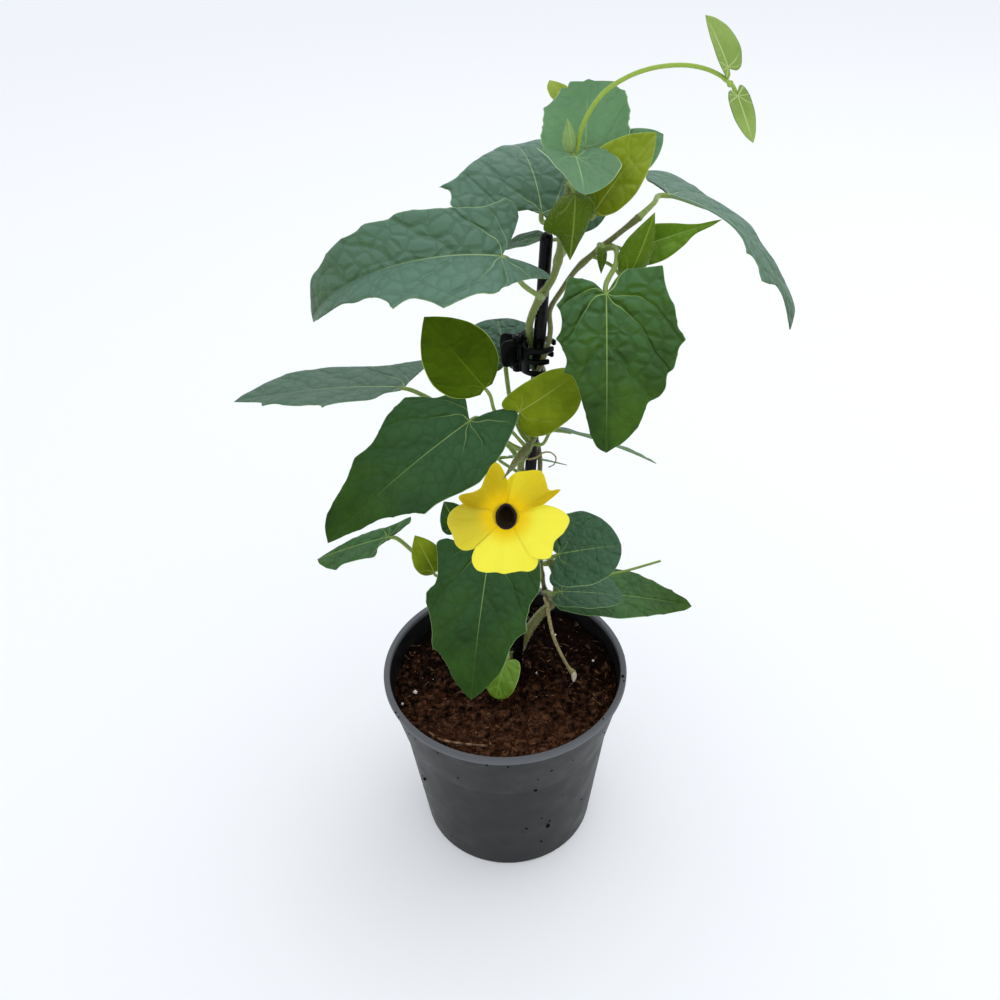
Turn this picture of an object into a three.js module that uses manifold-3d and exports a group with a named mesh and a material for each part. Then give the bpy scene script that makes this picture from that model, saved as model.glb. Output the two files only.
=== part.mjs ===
// A black-eyed Susan vine (Thunbergia alata) in its nursery pot: thin-walled pot, soil, a plastic
// cane, two stems that climb the cane, arrow-shaped leaves on their petioles, one open bloom, buds,
// and a small spring clip that holds the stems to the cane.
// Millimetres, +Z up. The origin is on the pot's axis, on the flat of its base.
import * as THREE from 'three';
import * as BufferGeometryUtils from 'three/addons/utils/BufferGeometryUtils.js';
import Module from 'manifold-3d';

const wasm = await Module();
wasm.setup();

// ---------------------------------------------------------------- driving dimensions
const SEAT_GAP = 0.35;              // air left between two pieces that touch

const POT_HEIGHT = 102;
const RIM_RADIUS = 60;
const RIM_BEAD_HEIGHT = 3;
const RIM_BEAD_WIDTH = 3;
const SHOULDER_RADIUS = 52.8;
const SHOULDER_HEIGHT = 70;
const FOOT_RADIUS = 44.5;
const POT_WALL = 1.6;
const POT_FLOOR = 2;
const DRAIN_RISE = 3;               // the ring with the drain holes is lifted off the ground
const DRAIN_RING_IN = 15;
const DRAIN_RING_OUT = 35;
const DRAIN_HOLES = 8;
const DRAIN_HOLE_RADIUS = 2.7;
const POT_SIDES = 32;

const SOIL_TOP = 91;
const SOIL_BUMP = 1.8;

const STICK_RADIUS = 2.4;
const STICK_BOTTOM = 16;
const STICK_TOP = 322;
const STICK_SOIL_X = 5.4;            // where the cane leaves the soil
const STICK_LEAN = 0.0625;          // millimetres to the right for each millimetre up

const MAIN_RADIUS = 1.4;
const MAIN_WRAP = 4.3;              // from the cane's middle to the stem's middle
const SIDE_RADIUS = 1.0;
const SIDE_WRAP = 3.95;
const BASE_RADIUS = 2.3;
const WRAP_RATE = 5.6;              // degrees round the cane for each millimetre up
const SHOOT_RADIUS = 0.75;
const STALK_RADIUS = 0.9;
const TENDRIL_RADIUS = 0.5;

const BLADE_THICKNESS = 0.8;
const PETAL_THICKNESS = 0.8;

const FLOWER_CENTRE = [2.1, -48, 230];
const FLOWER_FACING = [-0.05, -0.88, 0.47];
const THROAT_RADIUS = 4.5;
const TUBE_LENGTH = 21;

const CLIP_HEIGHT = 266;            // underside of the clip
const CLIP_CENTRE_X = 16.8;         // the cane's middle at the clip
const CLIP_PIN_X = 8.4;
const CLIP_BORE = 6.1;
const CLIP_WALL = 1.5;
const CLIP_TALL = 15;

// ---------------------------------------------------------------- materials
const finish = (color, roughness) => new THREE.MeshStandardMaterial({
  color,
  roughness,
  metalness: 0,
  side: THREE.DoubleSide,
});
const POT_PLASTIC = finish(0x444547, 0.55);
const SOIL = finish(0x3a2118, 0.95);
const BLACK_PLASTIC = finish(0x0c0b0b, 0.25);
const SPRING_WIRE = finish(0x2a2a2c, 0.35);
const GREEN_STEM = finish(0x7d8a45, 0.6);
const BROWN_STEM = finish(0x6e6238, 0.7);
const YOUNG_STEM = finish(0x9cbb45, 0.5);
const DRY_STEM = finish(0xa79668, 0.8);
const DARK_LEAF = finish(0x3d5f45, 0.5);
const DEEP_LEAF = finish(0x2f5233, 0.5);
const PALE_LEAF = finish(0x6d9f78, 0.5);
const YOUNG_LEAF = finish(0x7f9c25, 0.45);
const PETAL_YELLOW = finish(0xf7e431, 0.5);
const BRACT_GREEN = finish(0x6f8a2c, 0.5);

// ---------------------------------------------------------------- solids
const vine = new THREE.Group();

// A closed geometry becomes a solid once its shared corners are merged.
function solidFrom(geometry) {
  const bare = geometry.clone();
  bare.deleteAttribute('normal');
  bare.deleteAttribute('uv');
  const merged = BufferGeometryUtils.mergeVertices(bare, 1e-4);
  return new wasm.Manifold(new wasm.Mesh({
    numProp: 3,
    vertProperties: new Float32Array(merged.attributes.position.array),
    triVerts: new Uint32Array(merged.index.array),
  }));
}

function geometryFrom(solid) {
  const mesh = solid.getMesh();
  const geometry = new THREE.BufferGeometry();
  geometry.setAttribute('position', new THREE.BufferAttribute(mesh.vertProperties.slice(), 3));
  geometry.setIndex(new THREE.BufferAttribute(mesh.triVerts.slice(), 1));
  geometry.computeVertexNormals();
  return geometry;
}

// The largest of the bodies that a cut leaves.
function largest(solid) {
  return solid.decompose().reduce((best, body) => (body.volume() > best.volume() ? body : best));
}

function addNode(name, solid, material) {
  const mesh = new THREE.Mesh(geometryFrom(solid), material);
  mesh.name = name;
  vine.add(mesh);
}

const vector = (xyz) => new THREE.Vector3(...xyz);

// A round rod along a smooth curve through the points. grow thickens and lengthens it all round,
// which gives the cutter that seats another piece a gap away from it.
function rod(points, radius, { sides = 6, steps = points.length * 3, grow = 0 } = {}) {
  const route = points.map((point) => point.clone());
  const last = route.length - 1;
  if (grow > 0) {
    route[0].addScaledVector(points[0].clone().sub(points[1]).normalize(), grow);
    route[last].addScaledVector(points[last].clone().sub(points[last - 1]).normalize(), grow);
  }
  const outline = new THREE.Shape();
  for (let i = 0; i < sides; i += 1) {
    const turn = (2 * Math.PI * i) / sides;
    const x = (radius + grow) * Math.cos(turn);
    const y = (radius + grow) * Math.sin(turn);
    if (i === 0) outline.moveTo(x, y);
    else outline.lineTo(x, y);
  }
  outline.closePath();
  const curve = new THREE.CatmullRomCurve3(route, false, 'centripetal');
  return solidFrom(new THREE.ExtrudeGeometry(outline, { steps, extrudePath: curve }));
}

// A sheet of even thickness from a middle surface: corner positions and triangles. Both faces are
// the middle surface moved along its corner normals, so they are split alike.
function sheetSolid(corners, triangles, thickness) {
  const normals = corners.map(() => new THREE.Vector3());
  const edgeUse = new Map();
  for (const [a, b, c] of triangles) {
    const across = corners[b].clone().sub(corners[a]);
    const normal = across.cross(corners[c].clone().sub(corners[a]));
    for (const corner of [a, b, c]) normals[corner].add(normal);
    for (const [from, to] of [[a, b], [b, c], [c, a]]) {
      const back = `${to},${from}`;
      if (edgeUse.has(back)) edgeUse.delete(back);
      else edgeUse.set(`${from},${to}`, [from, to]);
    }
  }
  const position = [];
  for (const side of [0.5, -0.5]) {
    corners.forEach((corner, i) => {
      const lift = normals[i].clone().normalize().multiplyScalar(side * thickness);
      position.push(...corner.clone().add(lift).toArray());
    });
  }
  const under = corners.length;
  const index = [];
  for (const [a, b, c] of triangles) {
    index.push(a, b, c);
    index.push(under + a, under + c, under + b);
  }
  for (const [from, to] of edgeUse.values()) {
    index.push(from, under + from, under + to);
    index.push(from, under + to, to);
  }
  const geometry = new THREE.BufferGeometry();
  geometry.setAttribute('position', new THREE.Float32BufferAttribute(position, 3));
  geometry.setIndex(index);
  return solidFrom(geometry);
}

// ---------------------------------------------------------------- pot
function makePot() {
  const inner = (outerRadius) => outerRadius - POT_WALL;
  const beadFoot = POT_HEIGHT - RIM_BEAD_HEIGHT;
  const wallTop = RIM_RADIUS - 1.2;
  const slope = 4;                  // run of the slanting sides of the raised ring
  const profile = [
    [0, 0],
    [DRAIN_RING_IN, 0],
    [DRAIN_RING_IN + slope, DRAIN_RISE],
    [DRAIN_RING_OUT, DRAIN_RISE],
    [DRAIN_RING_OUT + slope, 0],
    [FOOT_RADIUS - 1.5, 0],
    [FOOT_RADIUS, 2],
    [SHOULDER_RADIUS - 0.6, SHOULDER_HEIGHT - 1],
    [SHOULDER_RADIUS, SHOULDER_HEIGHT],
    [wallTop, beadFoot],
    [RIM_RADIUS, beadFoot + 0.4],
    [RIM_RADIUS, POT_HEIGHT - 0.6],
    [RIM_RADIUS - 0.6, POT_HEIGHT],
    [RIM_RADIUS - RIM_BEAD_WIDTH, POT_HEIGHT],
    [inner(wallTop), beadFoot],
    [inner(SHOULDER_RADIUS), SHOULDER_HEIGHT],
    [inner(FOOT_RADIUS), POT_FLOOR + 2],
    [inner(FOOT_RADIUS) - 2, POT_FLOOR],
    [DRAIN_RING_OUT + slope + 0.8, POT_FLOOR],
    [DRAIN_RING_OUT + 0.8, POT_FLOOR + DRAIN_RISE],
    [DRAIN_RING_IN + slope - 0.8, POT_FLOOR + DRAIN_RISE],
    [DRAIN_RING_IN - 0.8, POT_FLOOR],
    [0, POT_FLOOR],
  ].map(([radius, height]) => new THREE.Vector2(radius, height));
  const shell = new THREE.LatheGeometry(profile, POT_SIDES);
  shell.rotateX(Math.PI / 2);
  let pot = solidFrom(shell);
  for (let i = 0; i < DRAIN_HOLES; i += 1) {
    const turn = (2 * Math.PI * (i + 0.5)) / DRAIN_HOLES;
    const ringRadius = (DRAIN_RING_IN + DRAIN_RING_OUT + slope) / 2;
    const drill = new THREE.CylinderGeometry(DRAIN_HOLE_RADIUS, DRAIN_HOLE_RADIUS, 12, 8);
    drill.rotateX(Math.PI / 2);
    drill.translate(ringRadius * Math.cos(turn), ringRadius * Math.sin(turn), DRAIN_RISE);
    pot = pot.subtract(solidFrom(drill));
  }
  return pot;
}

// ---------------------------------------------------------------- cane and stems
function stickAt(height) {
  return new THREE.Vector3(STICK_SOIL_X + (height - SOIL_TOP) * STICK_LEAN, 0, height);
}

// A point beside the cane: degrees are counted from the right, through the back, from above.
function besideStick(height, degrees, distance) {
  const turn = THREE.MathUtils.degToRad(degrees);
  const offset = new THREE.Vector3(distance * Math.cos(turn), distance * Math.sin(turn), 0);
  return stickAt(height).add(offset);
}

function wrap(fromHeight, toHeight, degreesAtStart, distance) {
  const points = [];
  const stepHeight = 7;
  const count = Math.round((toHeight - fromHeight) / stepHeight);
  for (let i = 0; i <= count; i += 1) {
    const height = fromHeight + ((toHeight - fromHeight) * i) / count;
    const degrees = degreesAtStart + (height - fromHeight) * WRAP_RATE;
    points.push(besideStick(height, degrees, distance));
  }
  return points;
}

const BASE_ROUTE = [[1, 6, 72], [3, 6, 92], [7, 5, 106], [12, 4.5, 120], [18, 7, 128], [27, 10.5, 135]];
const baseRoute = BASE_ROUTE.map(vector);

const mainRoute = [
  ...[[25, 9.7, 133], [25.5, 10, 146], [21.5, 9, 166], [18, 7, 184]].map(vector),
  ...wrap(200, 298, 63, MAIN_WRAP),
  ...[[22, -5, 307], [24.5, -4.4, 318], [26.5, -3, 333], [28.5, -3, 350]].map(vector),
];

const sideRoute = [
  ...[[23, 8, 134], [20, 3, 146], [18, -1.5, 163], [16, -4, 182]].map(vector),
  ...wrap(199, 290, -117, SIDE_WRAP),
  ...[[26, 2, 299], [31, 0, 307.5], [38, -2, 315], [45, -3.4, 321.5], [52.5, -4, 328]].map(vector),
];

const SHOOT_ROUTE = [
  [29.4, -4.2, 350], [31.2, -5.5, 360], [37, -7, 370], [44, -8, 375], [52, -9, 378],
  [62, -10, 379], [69, -11, 378], [74, -12, 376], [78, -12.5, 373],
];
const shootRoute = SHOOT_ROUTE.map(vector);

const STALK_ROUTE = [
  [18.5, 9.5, 140], [21, 6, 136], [22, 4, 128], [24, 2, 118], [28, 0, 107], [33, -1, 96.5],
  [34.5, -1.3, 95.4],
];
const stalkRoute = STALK_ROUTE.map(vector);

const THIN_STALK_ROUTE = [[26, 11, 141], [40, 14, 143.5], [57, 14.5, 147], [76, 16, 152]];

const TENDRIL_ROUTE = [
  [10.4, -2.6, 227], [12.2, -6, 227.6], [15.5, -7, 229], [18, -7.4, 231.3], [21, -7, 231.3],
  [23.5, -6.6, 228.5], [23, -6.4, 225], [20.5, -6.6, 223.5],
];

const MAIN_STEPS = 46;
const SIDE_STEPS = 42;
const stemRod = {
  base: (grow) => rod(baseRoute, BASE_RADIUS, { sides: 8, steps: 9, grow }),
  main: (grow) => rod(mainRoute, MAIN_RADIUS, { steps: MAIN_STEPS, grow }),
  side: (grow) => rod(sideRoute, SIDE_RADIUS, { steps: SIDE_STEPS, grow }),
  shoot: (grow) => rod(shootRoute, SHOOT_RADIUS, { sides: 5, steps: 18, grow }),
};

const mainCutter = stemRod.main(SEAT_GAP).add(stemRod.base(SEAT_GAP));
const sideCutter = stemRod.side(SEAT_GAP);
const shootCutter = stemRod.shoot(SEAT_GAP);
const stickPoints = [stickAt(STICK_BOTTOM), stickAt(SOIL_TOP), stickAt(STICK_TOP)];
const stickCutter = rod(stickPoints, STICK_RADIUS, { sides: 12, steps: 2, grow: SEAT_GAP });

function makeStick() {
  const cane = rod(stickPoints, STICK_RADIUS, { sides: 12, steps: 2 });
  const cap = new THREE.SphereGeometry(STICK_RADIUS * 0.98, 12, 6);
  const top = stickAt(STICK_TOP);
  cap.translate(top.x, top.y, top.z);
  return cane.add(solidFrom(cap));
}

// The height on a stem's middle line where a petiole or a stalk springs from it.
function pointOnRoute(route, height, towards) {
  const curve = new THREE.CatmullRomCurve3(route, false, 'centripetal');
  const miss = (point) => 20 * Math.abs(point.z - height) + point.distanceTo(towards);
  return curve.getPoints(400).reduce((best, point) => (miss(point) < miss(best) ? point : best));
}

const STEM_ROUTES = { main: mainRoute, base: baseRoute, side: sideRoute, shoot: shootRoute };
const STEM_CUTTERS = { main: mainCutter, base: mainCutter, side: sideCutter, shoot: shootCutter };

// ---------------------------------------------------------------- soil
// Height of the soil's surface: a slow swell with smaller crumbs, higher at the back right.
function soilHeight(x, y) {
  const swell = 0.035 * x + 0.04 * y;
  const crumb = Math.sin(0.21 * x + 1.3) * Math.cos(0.17 * y + 0.4) + 0.5 * Math.sin(0.43 * (x - y));
  return SOIL_TOP + 0.6 * swell + SOIL_BUMP * 0.6 * crumb;
}

function makeSoil() {
  const sectors = 32;
  const clear = SEAT_GAP + 0.1;
  // A ring of the cut-down lump that fills the pot, and its radius at a height.
  const wallSlope = (RIM_RADIUS - SHOULDER_RADIUS - 1.2) / (POT_HEIGHT - RIM_BEAD_HEIGHT - SHOULDER_HEIGHT);
  const insideRadius = (height) => {
    const upper = SHOULDER_RADIUS + (height - SHOULDER_HEIGHT) * wallSlope;
    const lower = FOOT_RADIUS + (height * (SHOULDER_RADIUS - FOOT_RADIUS)) / SHOULDER_HEIGHT;
    return Math.min(upper, lower) * Math.cos(Math.PI / POT_SIDES) - POT_WALL - clear;
  };
  const underside = POT_FLOOR + DRAIN_RISE + clear;
  const upperOuter = SHOULDER_RADIUS + (SOIL_TOP - SHOULDER_HEIGHT) * wallSlope - POT_WALL - 1.2;
  const rings = [0.2, 0.42, 0.62, 0.8, 0.93, 1].map((share) => share * upperOuter);
  const corners = [new THREE.Vector3(0, 0, soilHeight(0, 0))];
  const ringStart = [];
  const addRing = (radiusAt, heightAt) => {
    ringStart.push(corners.length);
    for (let i = 0; i < sectors; i += 1) {
      const turn = (2 * Math.PI * i) / sectors;
      const x = radiusAt * Math.cos(turn);
      const y = radiusAt * Math.sin(turn);
      corners.push(new THREE.Vector3(x, y, heightAt(x, y)));
    }
  };
  rings.forEach((radius) => addRing(radius, soilHeight));
  addRing(insideRadius(SHOULDER_HEIGHT), () => SHOULDER_HEIGHT);
  addRing(insideRadius(underside + 2), () => underside + 2);
  addRing(insideRadius(underside + 2) - 4, () => underside);
  const bottom = corners.length;
  corners.push(new THREE.Vector3(0, 0, underside));
  const index = [];
  for (let i = 0; i < sectors; i += 1) {
    const next = (i + 1) % sectors;
    index.push(0, ringStart[0] + i, ringStart[0] + next);
    for (let ring = 0; ring + 1 < ringStart.length; ring += 1) {
      const a = ringStart[ring] + i;
      const b = ringStart[ring] + next;
      const c = ringStart[ring + 1] + i;
      const d = ringStart[ring + 1] + next;
      index.push(a, c, d, a, d, b);
    }
    const lastRing = ringStart[ringStart.length - 1];
    index.push(lastRing + i, bottom, lastRing + next);
  }
  const geometry = new THREE.BufferGeometry();
  geometry.setAttribute('position', new THREE.Float32BufferAttribute(
    corners.flatMap((corner) => corner.toArray()), 3));
  geometry.setIndex(index);
  const lump = solidFrom(geometry);
  return largest(lump.subtract(stickCutter).subtract(stemRod.base(SEAT_GAP)));
}

// ---------------------------------------------------------------- leaves
// Half of a leaf's outline from the notch at the petiole round the lobe to the tip. The first
// number runs along the midrib, 0 at the petiole and 1 at the tip, the second across it, 1 at the
// half width.
const ARROW = [
  [-0.06, 0.06], [-0.15, 0.2], [-0.2, 0.44], [-0.19, 0.68], [-0.08, 0.8], [0.02, 0.85],
  [0.11, 0.97], [0.2, 0.93], [0.29, 1.0], [0.38, 0.88], [0.49, 0.85], [0.6, 0.67],
  [0.73, 0.55], [0.87, 0.31],
];
const HEART = [
  [-0.08, 0.14], [-0.16, 0.42], [-0.12, 0.74], [0.04, 0.95], [0.2, 1.0], [0.38, 0.97],
  [0.57, 0.82], [0.74, 0.6], [0.88, 0.34],
];
const ROUND = [
  [-0.08, 0.14], [-0.15, 0.44], [-0.1, 0.78], [0.06, 0.96], [0.26, 1.0], [0.48, 0.98],
  [0.68, 0.86], [0.85, 0.6], [0.96, 0.28],
];
const OVATE = [
  [-0.02, 0.22], [0.06, 0.58], [0.2, 0.88], [0.4, 1.0], [0.6, 0.88], [0.78, 0.6], [0.91, 0.28],
];
const LANCE = [[0.05, 0.45], [0.22, 0.95], [0.45, 1.0], [0.7, 0.6], [0.88, 0.24]];

// A leaf is set by its petiole's end (junction) and its tip. wide is the half width left and right
// of the midrib, looking from the petiole to the tip. roll turns the blade about the midrib, the
// left side up, and twist adds to it towards the tip; droop is how far the midrib bends down from
// end to end; fold lifts both sides.
// stem and height say where the petiole springs from; via bends the petiole on its way.
const LEAVES = [
  { name: 'leaf_upper_left', outline: ARROW, junction: [3, -22, 322], tip: [-63, -28, 302.5],
    wide: [25, 26], roll: -10, droop: 85, fold: 3, stem: 'main', height: 299,
    via: [[17, -9, 301], [10, -15, 309]], twist: -20, color: DARK_LEAF },
  { name: 'leaf_upper_back', outline: ARROW, junction: [18.6, 12, 324.6], tip: [8, 48, 338.5],
    wide: [31, 29], roll: 0, droop: 90, fold: 4, stem: 'main', height: 321,
    via: [[26.5, 0.5, 322.5], [23.5, 7, 323.5]], color: DARK_LEAF },
  { name: 'leaf_right_arched', outline: ARROW, junction: [64, 8, 331.6], tip: [117, 12, 275],
    wide: [19, 13], roll: -4, droop: 50, fold: 6, stem: 'side', height: 327.5,
    via: [[58, 1, 331]], twist: 24, color: DARK_LEAF },
  { name: 'leaf_front_right', outline: ARROW, junction: [39, -26, 309], tip: [39, -46, 256],
    wide: [27, 19], roll: 0, droop: 16, fold: 4, stem: 'side', height: 309.8,
    via: [[38, -9, 309.3], [41.5, -19, 310.5]], color: DARK_LEAF },
  { name: 'leaf_middle_left', outline: ARROW, junction: [-11, -13, 251], tip: [-69.5, -35, 209.3],
    wide: [25.5, 26], roll: -24, droop: 20, fold: 4, stem: 'main', height: 229,
    via: [[5, -6, 235], [-3, -10, 245]], color: DEEP_LEAF },
  { name: 'leaf_far_left', outline: ARROW, junction: [-38, 11, 253.5], tip: [-107, 4, 253],
    wide: [13, 21], roll: 0, droop: 16, fold: 3, stem: 'main', height: 222,
    via: [[4, 6, 227], [-16, 10, 240]], color: DARK_LEAF },
  { name: 'leaf_front_low', outline: ARROW, junction: [-5, -20, 190], tip: [-15, -52, 134],
    wide: [26, 24], roll: 0, droop: 18, fold: 3, stem: 'side', height: 186,
    via: [[10, -10, 189], [2, -16, 193]], color: DEEP_LEAF },
  { name: 'leaf_low_left', outline: ARROW, junction: [-48, -4, 190], tip: [-82, -10, 180.5],
    wide: [15, 17], roll: -8, droop: 10, fold: 4, stem: 'main', height: 158,
    via: [[10, 9, 157], [-12, 5, 158], [-32, -1, 168]], color: DARK_LEAF },
  { name: 'leaf_right_of_bloom', outline: ROUND, junction: [25, -9, 178.5], tip: [53, -7, 181],
    wide: [20, 18], roll: 20, droop: 12, fold: 2, stem: 'side', height: 172,
    via: [], color: DEEP_LEAF },
  { name: 'leaf_right_under', outline: ROUND, junction: [26.5, -7.5, 155], tip: [55.3, -6.5, 150],
    wide: [17, 11], roll: 0, droop: 14, fold: 2, stem: 'side', height: 148,
    via: [], color: DEEP_LEAF },
  { name: 'leaf_low_right', outline: ARROW, junction: [36, 9, 140], tip: [90, 2, 135],
    wide: [17, 17], roll: 4, droop: 12, fold: 5, stem: 'main', height: 137,
    via: [], color: DEEP_LEAF },
  { name: 'leaf_behind_clip', outline: ROUND, junction: [4, 14, 261], tip: [1, 32, 273],
    wide: [17, 15], roll: 0, droop: 50, fold: 4, stem: 'main', height: 234,
    via: [[9.5, -1.5, 238], [6, 5, 246]], color: DARK_LEAF },
  { name: 'leaf_bright_oval', outline: OVATE, junction: [-4.5, -12, 265], tip: [-26.7, -2, 291],
    wide: [15, 14.5], roll: -40, droop: -10, fold: 6, stem: 'main', height: 231,
    via: [[7, -7, 240], [-1, -11, 254]], color: YOUNG_LEAF },
  { name: 'leaf_round_folded', outline: ROUND, junction: [9.5, -12.6, 257], tip: [31.5, -11.5, 271],
    wide: [7.5, 14], roll: 84, droop: 20, fold: 8, stem: 'main', height: 236,
    via: [[9.5, -8, 245]], color: YOUNG_LEAF },
  { name: 'leaf_right_edge_on', outline: OVATE, junction: [25, -3, 239.5], tip: [66, -4, 222],
    wide: [14, 14], roll: -28, droop: 12, fold: 4, stem: 'main', height: 234,
    via: [[18, -6.5, 235]], color: DARK_LEAF },
  { name: 'leaf_behind_cane', outline: LANCE, junction: [3, 11, 218], tip: [30, 10, 213],
    wide: [6, 6], roll: -30, droop: 10, fold: 4, stem: 'main', height: 214,
    via: [], color: DARK_LEAF },
  { name: 'leaf_small_left', outline: OVATE, junction: [-30, -12, 173], tip: [-37, -12, 194],
    wide: [7, 7], roll: -65, droop: 10, fold: 10, stem: 'side', height: 160,
    via: [[6, -9, 160], [-12, -11, 162]], color: YOUNG_LEAF },
  { name: 'leaf_beside_bloom', outline: OVATE, junction: [-19.3, 2, 185], tip: [-24.5, 1, 202],
    wide: [7, 7], roll: -65, droop: 10, fold: 8, stem: 'main', height: 188,
    via: [[6, 7, 186], [-8, 4, 181]], color: DEEP_LEAF },
  { name: 'leaf_apex_round', outline: ROUND, junction: [33.3, 4, 350.5], tip: [34.5, 13, 370.5],
    wide: [16, 15], roll: 0, droop: 6, fold: -3, stem: 'main', height: 348,
    via: [], color: PALE_LEAF },
  { name: 'leaf_apex_front', outline: HEART, junction: [28.8, -10, 351], tip: [30.6, -26, 343.8],
    wide: [15, 14], roll: -8, droop: 18, fold: 5, stem: 'main', height: 343,
    via: [[29.5, -8, 346]], color: PALE_LEAF },
  { name: 'leaf_apex_bright', outline: OVATE, junction: [38, -10, 333], tip: [56, -6, 357.4],
    wide: [12, 12], roll: 40, droop: 20, fold: 6, stem: 'main', height: 330,
    via: [[32, -8, 331]], color: YOUNG_LEAF },
  { name: 'leaf_apex_back', outline: OVATE, junction: [27.5, 18, 361], tip: [22, 26, 367.5],
    wide: [5, 5], roll: 0, droop: 10, fold: 8, stem: 'main', height: 343,
    via: [[27, 6, 345], [25, 14, 351]], color: YOUNG_LEAF },
  { name: 'leaf_apex_right', outline: HEART, junction: [46, 3, 346], tip: [61, 9, 352.5],
    wide: [8, 8], roll: 50, droop: 10, fold: 4, stem: 'main', height: 338,
    via: [[37, 1, 342]], color: PALE_LEAF },
  { name: 'leaf_narrow_folded', outline: OVATE, junction: [53, -7.5, 318.5], tip: [79.8, -13, 329.5],
    wide: [8, 10], roll: 72, droop: -10, fold: 14, stem: 'side', height: 318,
    via: [[47, -6, 317]], color: YOUNG_LEAF },
  { name: 'leaf_under_cane_top', outline: OVATE, junction: [19.5, 10, 316], tip: [2, 14, 310],
    wide: [8, 8], roll: 0, droop: 20, fold: 4, stem: 'main', height: 313,
    via: [[26.5, 0, 314.5], [24.5, 7.5, 316]], color: DEEP_LEAF },
  { name: 'leaf_shoot_up', outline: HEART, junction: [76, -12.5, 378.5], tip: [67, -14, 394],
    wide: [3.2, 6.2], roll: -65, droop: 8, fold: 14, stem: 'shoot', height: 375,
    via: [], color: YOUNG_LEAF },
  { name: 'leaf_shoot_down', outline: HEART, junction: [80, -13, 370], tip: [86.5, -15, 355.5],
    wide: [3.6, 3.8], roll: 65, droop: 8, fold: 14, stem: 'shoot', height: 373.5,
    via: [], color: YOUNG_LEAF },
  { name: 'leaf_pale_low', outline: ROUND, junction: [0.5, -3.8, 107], tip: [-5, -13.5, 92],
    wide: [10, 8], roll: 0, droop: 20, fold: 14, stem: 'base', height: 104,
    via: [[1.5, 2.5, 106.5]], color: BRACT_GREEN },
  { name: 'bract_narrow', outline: LANCE, junction: [13.6, -9.4, 238.8], tip: [1, -52, 249.5],
    wide: [2, 2], roll: 0, droop: -6, fold: 20, stem: 'main', height: 233,
    via: [], color: BROWN_STEM },
];

// The blade's own directions: along the midrib at the petiole, to the left, and up out of it.
function bladeFrame(leaf) {
  const junction = vector(leaf.junction);
  const chord = vector(leaf.tip).sub(junction);
  const bend = THREE.MathUtils.degToRad(leaf.droop);
  const along = chord.clone().normalize();
  const left = new THREE.Vector3(0, 0, 1).cross(along).normalize();
  const up = along.clone().cross(left);
  const roll = THREE.MathUtils.degToRad(leaf.roll);
  const rolledLeft = left.clone().multiplyScalar(Math.cos(roll)).addScaledVector(up, Math.sin(roll));
  const rolledUp = up.multiplyScalar(Math.cos(roll)).addScaledVector(left, -Math.sin(roll));
  const start = along.clone().multiplyScalar(Math.cos(bend / 2));
  start.addScaledVector(rolledUp, Math.sin(bend / 2));
  const startUp = rolledUp.clone().multiplyScalar(Math.cos(bend / 2));
  startUp.addScaledVector(along, -Math.sin(bend / 2));
  const length = (chord.length() * (bend / 2)) / Math.sin(bend / 2);
  return { junction, along: start, left: rolledLeft, up: startUp, bend, length };
}

// A point of the blade: share of the midrib's length, and millimetres to the left of it. The edge
// ripples a little between the teeth.
const EDGE_RIPPLE = 0.025;
function bladePoint(leaf, frame, share, across) {
  const turn = frame.bend * share;
  const ahead = (frame.length * Math.sin(turn)) / frame.bend;
  const drop = (frame.length * (1 - Math.cos(turn))) / frame.bend;
  const point = frame.junction.clone();
  point.addScaledVector(frame.along, ahead).addScaledVector(frame.up, -drop);
  const straightUp = frame.along.clone().multiplyScalar(Math.sin(turn));
  straightUp.addScaledVector(frame.up, Math.cos(turn));
  const twist = THREE.MathUtils.degToRad((leaf.twist ?? 0) * share);
  const up = straightUp.clone().multiplyScalar(Math.cos(twist));
  up.addScaledVector(frame.left, -Math.sin(twist));
  const left = frame.left.clone().multiplyScalar(Math.cos(twist));
  left.addScaledVector(straightUp, Math.sin(twist));
  const fold = THREE.MathUtils.degToRad(leaf.fold);
  const halfWidth = across > 0 ? leaf.wide[0] : leaf.wide[1];
  const reach = Math.abs(across) / halfWidth;
  const ripple = EDGE_RIPPLE * halfWidth * reach * reach * Math.sin(14 * share + Math.sign(across));
  point.addScaledVector(left, across * Math.cos(fold));
  return point.addScaledVector(up, Math.abs(across) * Math.sin(fold) + ripple);
}

function makeBlade(leaf, frame) {
  const rows = Math.max(...leaf.wide) > 24 ? 2 : 1;
  const corners = [];
  const triangles = [];
  const placed = new Map();
  const corner = (share, across) => {
    const key = `${share.toFixed(5)},${across.toFixed(4)}`;
    if (!placed.has(key)) {
      placed.set(key, corners.length);
      corners.push(bladePoint(leaf, frame, share, across));
    }
    return placed.get(key);
  };
  for (const side of [1, -1]) {
    const halfWidth = side > 0 ? leaf.wide[0] : leaf.wide[1];
    const edge = [...leaf.outline, [1, 0]];
    const grid = edge.map(([share, across]) => {
      const anchor = Math.max(0, share);
      const column = [];
      for (let row = 0; row <= rows; row += 1) {
        const part = row / rows;
        const along = anchor + (share - anchor) * part;
        column.push(corner(along, side * halfWidth * across * part));
      }
      return column;
    });
    for (let i = 0; i + 1 < grid.length; i += 1) {
      for (let row = 0; row < rows; row += 1) {
        const [a, b] = [grid[i][row], grid[i][row + 1]];
        const [c, d] = [grid[i + 1][row], grid[i + 1][row + 1]];
        const pair = side > 0 ? [[a, c, b], [b, c, d]] : [[a, b, c], [b, d, c]];
        for (const triangle of pair) {
          if (new Set(triangle).size === 3) triangles.push(triangle);
        }
      }
    }
  }
  return sheetSolid(corners, triangles, BLADE_THICKNESS);
}

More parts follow.
